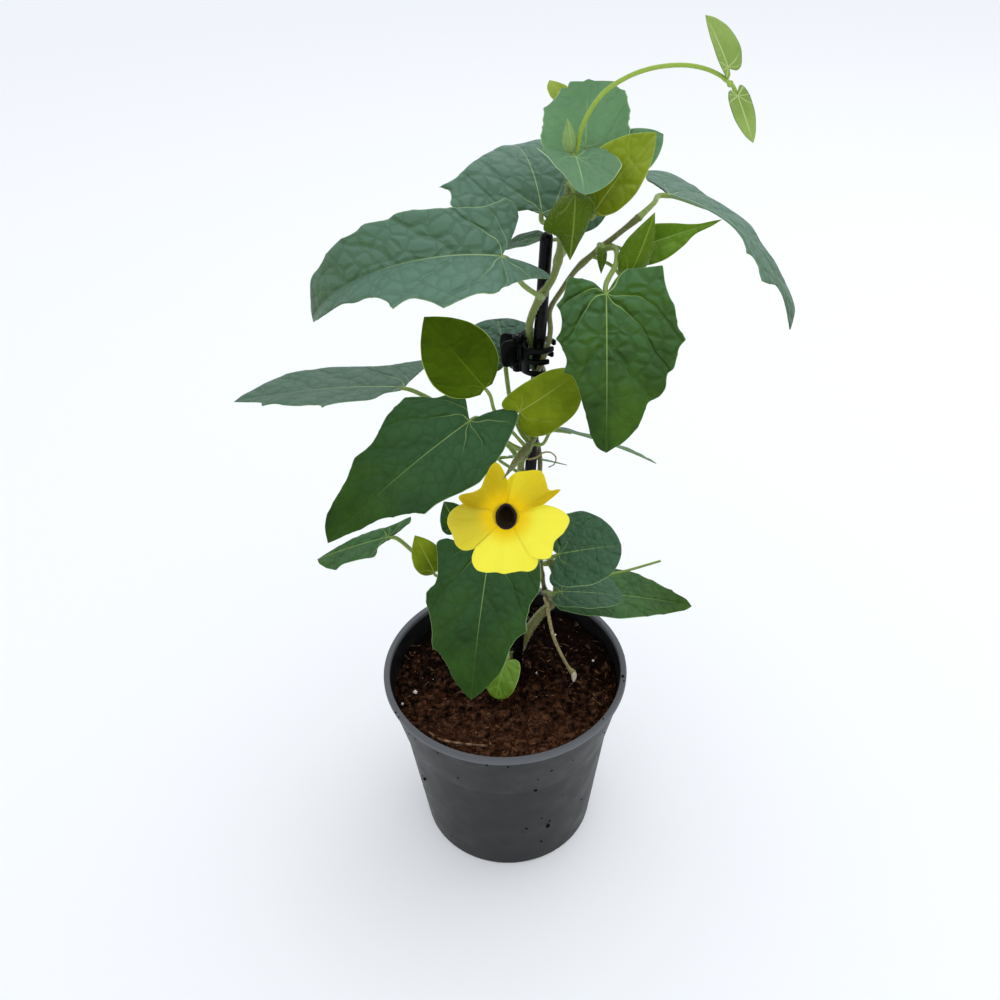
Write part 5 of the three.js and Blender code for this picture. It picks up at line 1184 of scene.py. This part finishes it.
# The eye: the same velvet, loaded with purple-black sap, shading to red-violet at its edge.
throat_velvet, tree, shader, millimetres = new_finish(
    "throat_velvet", {"Roughness": 0.6, "Specular IOR Level": 0.2, "Sheen Weight": 0.08,
                      "Sheen Tint": "#7a4a66"})
purple = mottle(shader, millimetres, "#120a0e", "#2c1a24", 0.9, 3.0)[1]
down = add(tree, "ShaderNodeUVMap", uv_map="blade_mm")
depth = add(tree, "ShaderNodeSeparateXYZ", {0: down}).outputs["X"]
inside = add(tree, "ShaderNodeMapRange", {0: depth, 1: 1.0, 2: 7.0})
browned = add(tree, "ShaderNodeMix", {0: inside, 6: purple, 7: "#7a6a45"}, data_type="RGBA")
join(shader, {"Base Color": browned})

tube_profile = [(0.02, -TUBE_LENGTH), (1.8, -TUBE_LENGTH), (2.5, -TUBE_LENGTH + 0.5),
                (3.0, -TUBE_LENGTH * 0.9), (3.6, -TUBE_LENGTH * 0.75), (4.4, -TUBE_LENGTH * 0.45),
                (4.9, -TUBE_LENGTH * 0.25), (5.15, -2.5), (5.1, -1.2), (5.0, -0.3), (4.75, 0.1)]
eye_profile = [(4.75, 0.1), (4.3, 0.0), (4.05, -0.6), (4.0, -1.5), (4.1, -3), (3.9, -8),
               (3.0, -TUBE_LENGTH * 0.7), (0.02, -TUBE_LENGTH + 1.5)]
# the dark ring where the petals' feet meet laps a little way up them
ring_profile = [(3.6, -0.9), (3.8475, -0.29203), (4.095, 0.19167), (4.3425, 0.28838), (4.59, 0.12)]
EYE_RADIUS = 4.5
EYE_HALF_WIDTH = 3.65
EYE_HALF_HEIGHT = 4.8
EYE_NARROWING = 0.14


def eye_reach(degrees):
    """The eye is an egg: taller than it is wide, and narrower at the top."""
    turn = np.radians(degrees)
    half_width = EYE_HALF_WIDTH * (1 - EYE_NARROWING * np.sin(turn))
    return 1 / np.hypot(np.cos(turn) / half_width, np.sin(turn) / EYE_HALF_HEIGHT)


def flower_lathe(profile, finish_number, egg, steps=40):
    """A profile of (radius, lift) turned about the bloom's own axis."""
    points, faces, uv = [], [], []
    radii, lift = np.array(profile).T
    count = len(profile)
    for i in range(steps):
        degrees = np.full(count, 360 * i / steps)
        radius = radii * (eye_reach(degrees) / EYE_RADIUS if egg else 1)
        points.extend(flower_points(radius, degrees, lift))
        uv.extend((-h, EYE_RADIUS) for h in lift)
        here, there = i * count, ((i + 1) % steps) * count
        faces.extend([here + j, there + j, there + j + 1, here + j + 1] for j in range(count - 1))
    return points, faces, finish_number, uv


petal_parts = [petal_part(foot, cup, rim, seed) for seed, (foot, cup, rim) in enumerate(PETALS)]
piece_from("open_bloom", [*petal_parts, flower_lathe(tube_profile, 1, False),
                          flower_lathe(eye_profile, 2, True),
                          flower_lathe(ring_profile, 2, True, 72)],
           [petal_velvet, petal_back, throat_velvet], nodes=["bloom"], crease=60)

# ---------------------------------------------------------------- bracts and buds
# Each flower bud is shut between two keeled, downy bracts that meet in a point. Under the open
# bloom the same two bracts clasp its tube.
bract_veins = {"gap": 9.0, "cushion": 3.0, "vein_reach": 9.0}
bract_skin = leaf_finish("bract_skin", "#3f5606", "#526b12", "#62793a", "#7d8f40", 0.3,
                         shine=0.08, **bract_veins)
bright_bract_skin = leaf_finish("bright_bract_skin", "#4a660a", "#5f7d18", "#6c8a34", "#86a040",
                                0.3, shine=0.08, **bract_veins)
downy_bract_skin = leaf_finish("downy_bract_skin", "#7c9c58", "#94b26e", "#a3bd84", "#b4c892", 0.2,
                               shine=0.1, **bract_veins)
SWELL = [(0, 0.02), (0.04, 0.3), (0.14, 0.75), (0.3, 1.0), (0.5, 0.93), (0.7, 0.62), (0.87, 0.28),
         (1.0, 0.01)]
FLARED_LEFT = [(0, 0.02), (0.02, 0.3), (0.06, 0.5), (0.22, 0.84), (0.4, 1.1), (0.54, 1.18),
               (0.59, 1.08), (0.63, 0.72), (0.7, 0.48), (0.83, 0.27), (1.0, 0.01)]
FLARED_RIGHT = [(0, 0.02), (0.02, 0.5), (0.1, 0.84), (0.24, 0.82), (0.42, 0.68), (0.59, 0.52),
                (0.74, 0.32), (0.88, 0.16), (1.0, 0.01)]
POD_LENGTH = 14              # mm that its vein pattern is drawn for
POD_HALF_WIDTH = 6
BRACT_LENGTH = 16
BRACT_SPREAD = 80            # degrees of the tube that half a bract takes up


def pod_part(foot, tip, half_width, half_depth, keel, swells):
    """Two bracts shut to a pod: a lens in section, raised at its seams; swells: left, right."""
    foot, tip = np.array(foot, float), np.array(tip, float)
    axis = tip - foot
    along = axis / np.linalg.norm(axis)
    level = np.array([0, 1, 0] if abs(along[2]) > 0.95 else [0, 0, 1], float)
    side = np.cross(level, along)
    side /= np.linalg.norm(side)
    turn = math.radians(keel)
    side = side * math.cos(turn) + np.cross(along, side) * math.sin(turn)
    depth = np.cross(along, side)
    rings, around = 48, 40
    share = np.linspace(0, 1, rings)
    left, right = [smooth_path([(x, y, 0) for x, y in swell], 0.02) for swell in swells]
    left, right = [np.interp(share, side_line[:, 0], side_line[:, 1]) for side_line in (left, right)]
    points, uv = [], []
    for k in range(rings):
        for i in range(around):
            angle = 2 * math.pi * i / around
            wide, deep = math.cos(angle), math.sin(angle)
            seam = 1 + 0.05 * math.exp(-(deep / 0.16) ** 2)
            lens = abs(deep) ** 1.25 * (1 if deep > 0 else -1)
            reach = (left if wide > 0 else right)[k]
            point = foot + axis * share[k] + side * (wide * seam * reach * half_width * 0.95)
            point = point + depth * (lens * (left[k] + right[k]) / 2 * half_depth)
            points.append(point)
            uv.append((share[k] * POD_LENGTH, wide * reach * POD_HALF_WIDTH))
    return points, ring_faces(rings, around), 0, uv


def grow_bud(node, stem, height, foot, tip, half_width, half_depth, keel, via=(),
             skin=bract_skin, swells=(SWELL, SWELL)):
    """A bud on its stalk, downy all over."""
    inside = 0.88 * np.array(foot) + 0.12 * np.array(tip)
    rod = stalk([springing_point(stem, height, foot), *via, foot, inside], 0.6,
                [0, 0.1, 0.8, 1], [0.95, 0.62, 0.66, 0.9], 10, 1)
    pod = pod_part(foot, tip, half_width, half_depth, keel, swells)
    bud = piece_from(node + "_downy", [pod, rod], [skin, petiole_skin], nodes=[node],
                     crease=50)
    with_hairs(bud, petiole_skin, per_square_mm=2.0, length=0.6)
    with_hairs(bud, skin, per_square_mm=2.2, length=0.55, thickness=0.022)


grow_bud("bud_right", side_stem, 313.3, (46.5, -15.5, 309.8), (56, -14, 333), 6, 3, 90,
         via=[(43, -8, 311.5)], skin=bright_bract_skin)
grow_bud("bud_front", main_stem, 340, (28.5, -12, 340), (27, -16, 317.5), 8.5, 4.5, 0,
         via=[(27, -9, 342)], swells=(FLARED_LEFT, FLARED_RIGHT))
grow_bud("bud_small", side_stem, 316, (39, -9.5, 320), (38.5, -12.5, 310.5), 1.8, 1.6, 0,
         via=[(38, -6, 319)])
grow_bud("bud_apex", main_stem, 347.5, (27.3, -5.3, 351), (26, -7, 363), 2.6, 1.6, 20,
         skin=downy_bract_skin)


def clasping_bract(hand):
    """One of the two bracts that clasp the tube, a shallow boat closing to a point."""
    rows, arcs = 22, 24
    share = np.linspace(0, 1, rows + 1)[:, None]
    spread = np.linspace(-BRACT_SPREAD, BRACT_SPREAD, arcs + 1)[None, :]
    width = np.interp(share, [0, 0.25, 0.5, 0.75, 0.92, 1], [1, 1, 0.92, 0.6, 0.26, 0.03])
    radius = np.interp(share, [0, 0.12, 0.25, 0.5, 0.75, 1], [1.6, 3.6, 5.0, 6.2, 6.4, 6.1])
    turn = 90 + hand * 90 + spread * width
    lift = -TUBE_LENGTH - 2.6 + share * BRACT_LENGTH
    room = np.minimum(1 - np.abs(spread) / BRACT_SPREAD, 1 - share) * 8
    thick = 0.3 * np.sqrt(np.clip(room, 0, 1))
    points, faces, uv = [], [], []
    for face_side in (1, -1):
        start = len(points)
        keel = 0.35 * np.exp(-(spread / 12) ** 2)
        points.extend(flower_points(radius + keel + face_side * thick, turn, lift).reshape(-1, 3))
        uv.extend(zip((share * BRACT_LENGTH + 0 * spread).ravel(), (spread * width * 0.08).ravel()))
        faces += sheet_faces(start, rows, arcs)
    return points, faces, 0, uv


calyx_foot = flower_points(np.array(0.0), np.array(0.0), np.array(-TUBE_LENGTH - 3.0))
calyx_stalk = stalk([springing_point(side_stem, 201, calyx_foot), (9, -11, 206),
                     calyx_foot - 2.5 * flower_out, calyx_foot, calyx_foot + 1.2 * flower_out],
                    0.7, [0, 0.1, 0.75, 1], [1.2, 0.8, 0.9, 1.9], 14, 1)
calyx = piece_from("clasping_bracts", [clasping_bract(1), clasping_bract(-1), calyx_stalk],
                   [bract_skin, petiole_skin], nodes=["bloom_bracts"], crease=50)
with_hairs(calyx, petiole_skin, per_square_mm=2.0, length=0.6)
with_hairs(calyx, bract_skin, per_square_mm=1.6, length=0.5, thickness=0.03)

# ---------------------------------------------------------------- dry stalks and thread
# What is left of older growth: a pale stalk bent down to the compost, a thin straight one, and a
# curled dry thread at a node. All are shrunken and ridged.
dry_rind, tree, shader, millimetres = new_finish("dry_rind", {"Roughness": 0.75})
fibre = mottle(shader, millimetres, "#7d7443", "#b3a578", 0.8, 5.0, 0.35, 0.65)[0]
shrunken = add(tree, "ShaderNodeBump", {"Height": fibre, "Strength": 0.8, "Distance": 0.0004})
join(shader, {"Normal": shrunken})

# Bare pith where the stalk broke off: cream, matt and fibrous.
dry_pith = mottled_finish("dry_pith", {"Roughness": 0.85}, "#a8977a", "#efe6d2", 1.5, 3.0)

bent = [(20.2, 7.6, 138.6), (21, 6, 136), (22, 4, 128), (24, 2, 118), (28, 0, 107),
        (33, -1, 96.5), (34.5, -1.3, 95.4)]
pith = [(33.6, -1.1, 96.2), (34.2, -2.2, 95.0), (34, -4.2, 94.0), (33.8, -5.4, 93.6)]
thin = [(26, 11, 141), (40, 14, 143.5), (57, 14.5, 147), (76, 16, 152)]
thread = [(10.4, -2.6, 227), (12.2, -6, 227.6), (15.5, -7, 229), (18, -7.4, 231.3),
          (21, -7, 231.3), (23.5, -6.6, 228.5), (23, -6.4, 225), (20.5, -6.6, 223.5)]
piece_from("bent_dry_stalk",
           [stalk(bent, 0.6, [0, 0.15, 0.85, 0.93, 0.97, 1], [1.1, 0.9, 0.8, 1.1, 1.45, 1.3], 12),
            stalk(pith, 0.5, [0, 0.3, 0.7, 1], [1.2, 1.5, 1.2, 0.5], 9, 1)],
           [dry_rind, dry_pith], nodes=["stalk_dry"])
piece_from("thin_straight_stalk", [stalk(thin, 0.8, [0, 0.1, 1], [1.0, 0.75, 0.6], 10)],
           [petiole_skin], nodes=["stalk_thin"])
piece_from("curled_thread", [stalk(thread, 0.4, [0, 1], [0.5, 0.25], 8)], [dry_rind],
           nodes=["tendril"])

# ---------------------------------------------------------------- spring clip
# A small black clip moulded in two jaws that turn on a steel pin. A coil spring between them
# closes their curved fingers round the cane and the stems; the flat pads open them.
CLIP_LOW = 266
CLIP_CENTRE_X = 16.8
CLIP_PIN_X = 8.4
CLIP_BORE = 6.1
CLIP_WALL = 1.5
CLIP_EDGE = 0.4
PIN_RADIUS = 0.7
KNUCKLE_RADIUS = 1.9
KNUCKLE_BORE = 1.05
COIL_RADIUS = 1.45
COIL_WIRE_RADIUS = 0.28
COIL_GAP = 0.7
COIL_TURNS = 4
REAR_KNUCKLES = ((0, 2.2), (12.8, 15))       # from and to, above the clip's foot
FRONT_KNUCKLES = ((2.6, 4.6), (10.4, 12.4))


def bent_plate(from_degrees, to_degrees, low, high, round_end=True):
    """A plate or a finger bent round the cane, its edges eased by the mould."""
    middle = CLIP_BORE + CLIP_WALL / 2
    ease = min(0.45, (high - low) * 0.3)
    tall, deep = (high - low) / 2, CLIP_WALL / 2
    section = []
    for corner, (sx, sz) in enumerate([(1, 1), (-1, 1), (-1, -1), (1, -1)]):
        for a in np.linspace(0, 90, 5):
            turn = math.radians(corner * 90 + a)
            section.append((sx * (deep - ease) + ease * math.cos(turn),
                            sz * (tall - ease) + ease * math.sin(turn)))
    turns = np.radians(np.arange(from_degrees, to_degrees + 1e-6, (to_degrees - from_degrees) / 28))
    points = []
    for turn, degrees in zip(turns, np.degrees(turns)):
        last = min(abs(degrees - from_degrees), abs(degrees - to_degrees)) * math.pi / 180 * middle
        shrink = math.sqrt(max(0.02, 1 - (1 - min(last / 0.7, 1)) ** 2)) if round_end else 1.0
        for across, up in section:
            radius = middle + across * shrink
            points.append((CLIP_CENTRE_X + radius * math.cos(turn), radius * math.sin(turn),
                           (low + high) / 2 + up * (0.4 + 0.6 * shrink)))
    return points, ring_faces(len(turns), len(section)), 0, None


def knuckle(low, high):
    """A short ring round the pin, with eased edges."""
    outer, ease = KNUCKLE_RADIUS, 0.2
    profile = [(outer - ease, low), (outer, low + ease), (outer, high - ease), (outer - ease, high),
               (KNUCKLE_BORE, high), (KNUCKLE_BORE, low)]
    points, faces, finish, uv = turned(profile, 36)
    return [(CLIP_PIN_X + x, y, z) for x, y, z in points], faces, finish, uv


def thumb_pad(centre, size, degrees):
    """A flat pad with a well rounded outline, turned about the upright."""
    steps = 40
    long, thick, tall = size
    turn = math.radians(degrees)
    points = []
    layers = [(-0.5, 0.75), (-0.46, 0.9), (-0.3, 0.99), (0.3, 0.99), (0.46, 0.9), (0.5, 0.75)]
    for depth, reach in layers:
        for i in range(steps):
            a = 2 * math.pi * i / steps
            edge = max(abs(math.cos(a)), 1e-9) ** 0.6 * (1 if math.cos(a) > 0 else -1)
            rise = max(abs(math.sin(a)), 1e-9) ** 0.6 * (1 if math.sin(a) > 0 else -1)
            ease = thick * (1 - reach)
            x, y = edge * (long / 2 - ease), depth * thick
            points.append((centre[0] + x * math.cos(turn) - y * math.sin(turn),
                           centre[1] + x * math.sin(turn) + y * math.cos(turn),
                           centre[2] + rise * (tall / 2 - ease)))
    return points, ring_faces(len(layers), steps), 0, None


def root_block(centre, size, degrees):
    """A flat bar with rounded ends and edges, turned about the upright."""
    work = bmesh.new()
    bmesh.ops.create_cube(work, size=1)
    bmesh.ops.scale(work, vec=size, verts=work.verts)
    bmesh.ops.bevel(work, geom=work.edges[:], offset=CLIP_EDGE, segments=4, profile=0.5,
                    affect="EDGES", clamp_overlap=True)
    bmesh.ops.rotate(work, verts=work.verts, cent=(0, 0, 0),
                     matrix=Matrix.Rotation(math.radians(degrees), 3, "Z"))
    points = [tuple(Vector(centre) + v.co) for v in work.verts]
    faces = [[v.index for v in face.verts] for face in work.faces]
    work.free()
    return points, faces, 0, None


# Moulded acetal: dense black plastic, glossy from a polished mould, lightly rubbed.
moulded_acetal, tree, shader, millimetres = new_finish(
    "moulded_acetal", {"Specular IOR Level": 0.08})
handled = mottle(shader, millimetres, "#030303", "#0b0c0d", 0.5, 4.0)[0]
polish = add(tree, "ShaderNodeMapRange", {0: handled, 1: 0.3, 2: 0.7, 3: 0.22, 4: 0.42})
join(shader, {"Roughness": polish})

for name, node, side, body, knuckles, fingers in [
        ("clip_rear_jaw", "clip_back_jaw", 1, "plant", REAR_KNUCKLES,
         [(330, 3.2, 5.4), (342, 9, 11.2)]),
        ("clip_hinged_jaw", "clip_front_jaw", -1, "clip_jaw", FRONT_KNUCKLES,
         [(292, 0.6, 2.6), (304, 5.6, 7.6), (322, 10.4, 12.4)])]:
    low = CLIP_LOW + min(knuckles[0][0], fingers[0][1])
    high = CLIP_LOW + knuckles[1][1]
    spine = (128, 170) if side > 0 else (190, 232)
    parts = [bent_plate(*spine, low, high, round_end=False)]
    for end, finger_low, finger_high in fingers:
        reach = (360 - end, 150) if side > 0 else (210, end)
        parts.append(bent_plate(*reach, CLIP_LOW + finger_low, CLIP_LOW + finger_high))
    parts.append(thumb_pad((CLIP_PIN_X - 3.3, side * 3.1, CLIP_LOW + 9), (7, 1.5, 11), side * -27))
    parts.append(root_block((CLIP_PIN_X + 1.7, side * 2.3, (low + high) / 2), (2.2, 1.3, high - low),
                            side * 12))
    parts += [knuckle(CLIP_LOW + foot, CLIP_LOW + top) for foot, top in knuckles]
    piece_from(name, parts, [moulded_acetal], nodes=[node], body=body, crease=35)

# Drawn spring wire, oiled: dark and fairly bright.
drawn_wire = mottled_finish("drawn_spring_wire", {"Metallic": 1.0, "Roughness": 0.35},
                            "#2b2b2e", "#55565a", 1.5, 2.0)
pin_path = np.array([(CLIP_PIN_X, 0, z) for z in np.linspace(CLIP_LOW - 0.3, CLIP_LOW + 15.3, 20)])
piece_from("clip_steel_pin", [tube(pin_path, PIN_RADIUS, 20)], [drawn_wire],
           nodes=["clip_pin"])
coil_low = CLIP_LOW + FRONT_KNUCKLES[0][1] + COIL_GAP
coil_high = CLIP_LOW + FRONT_KNUCKLES[1][0] - COIL_GAP
turns = np.linspace(0, 2 * math.pi * COIL_TURNS, 160)
coil = np.stack([CLIP_PIN_X + COIL_RADIUS * np.cos(turns), COIL_RADIUS * np.sin(turns),
                 np.linspace(coil_low, coil_high, len(turns))], axis=1)
piece_from("clip_coil_spring", [tube(coil, COIL_WIRE_RADIUS, 8)], [drawn_wire],
           nodes=["clip_spring"])

# ---------------------------------------------------------------- floor, light and camera
# A plain pale floor that runs out of sight, a large soft light from above and behind to the right,
# a weak fill from the front right, and an even pale surround.
floor_mesh = bpy.data.meshes.new("floor")
floor_mesh.from_pydata([(-6, -4, 0), (6, -4, 0), (6, 9, 0), (-6, 9, 0)], [], [(0, 1, 2, 3)])
floor = bpy.data.objects.new("floor", floor_mesh)
bpy.context.scene.collection.objects.link(floor)
# lit a little from beneath, so the shadows stay pale
matt_paper = new_finish("matt_paper", {"Base Color": "#e0e2e4", "Roughness": 0.9,
                                       "Specular IOR Level": 0.1, "Emission Color": "#f6f7fa",
                                       "Emission Strength": 0.2})[0]
floor_mesh.materials.append(matt_paper)

surround = bpy.data.worlds.new("surround")
surround.use_nodes = True
join(surround.node_tree.nodes["Background"], {0: "#f4f6fa", 1: 1.0})
bpy.context.scene.world = surround


def softbox(name, place, aim, size, watts, colour):
    light = bpy.data.lights.new(name, "AREA")
    light.shape = "SQUARE"
    light.size = size
    light.energy = watts
    light.color = linear(colour)[:3]
    lamp = bpy.data.objects.new(name, light)
    lamp.location = place
    lamp.rotation_euler = (Vector(aim) - Vector(place)).to_track_quat("-Z", "Y").to_euler()
    bpy.context.scene.collection.objects.link(lamp)


softbox("overhead_softbox", (0.6, 0.45, 1.7), (0, 0, 0.1), 1.3, 7, "#f8fbff")
softbox("front_fill", (0.9, -1.3, 0.9), (0, 0, 0.2), 1.2, 1, "#ffffff")
bpy.context.scene.view_settings.view_transform = "Standard"

lens = bpy.data.cameras.new("camera")
lens.sensor_width = 36
lens.lens = 34.74
lens.clip_end = 50
camera = bpy.data.objects.new("camera", lens)
camera.location = (0, -0.338, 0.450)
camera.rotation_euler = (Matrix.Rotation(math.radians(90 - 36.2), 3, "X")
                         @ Matrix.Rotation(math.radians(-1.7), 3, "Z")).to_euler()
bpy.context.scene.collection.objects.link(camera)
bpy.context.scene.camera = camera
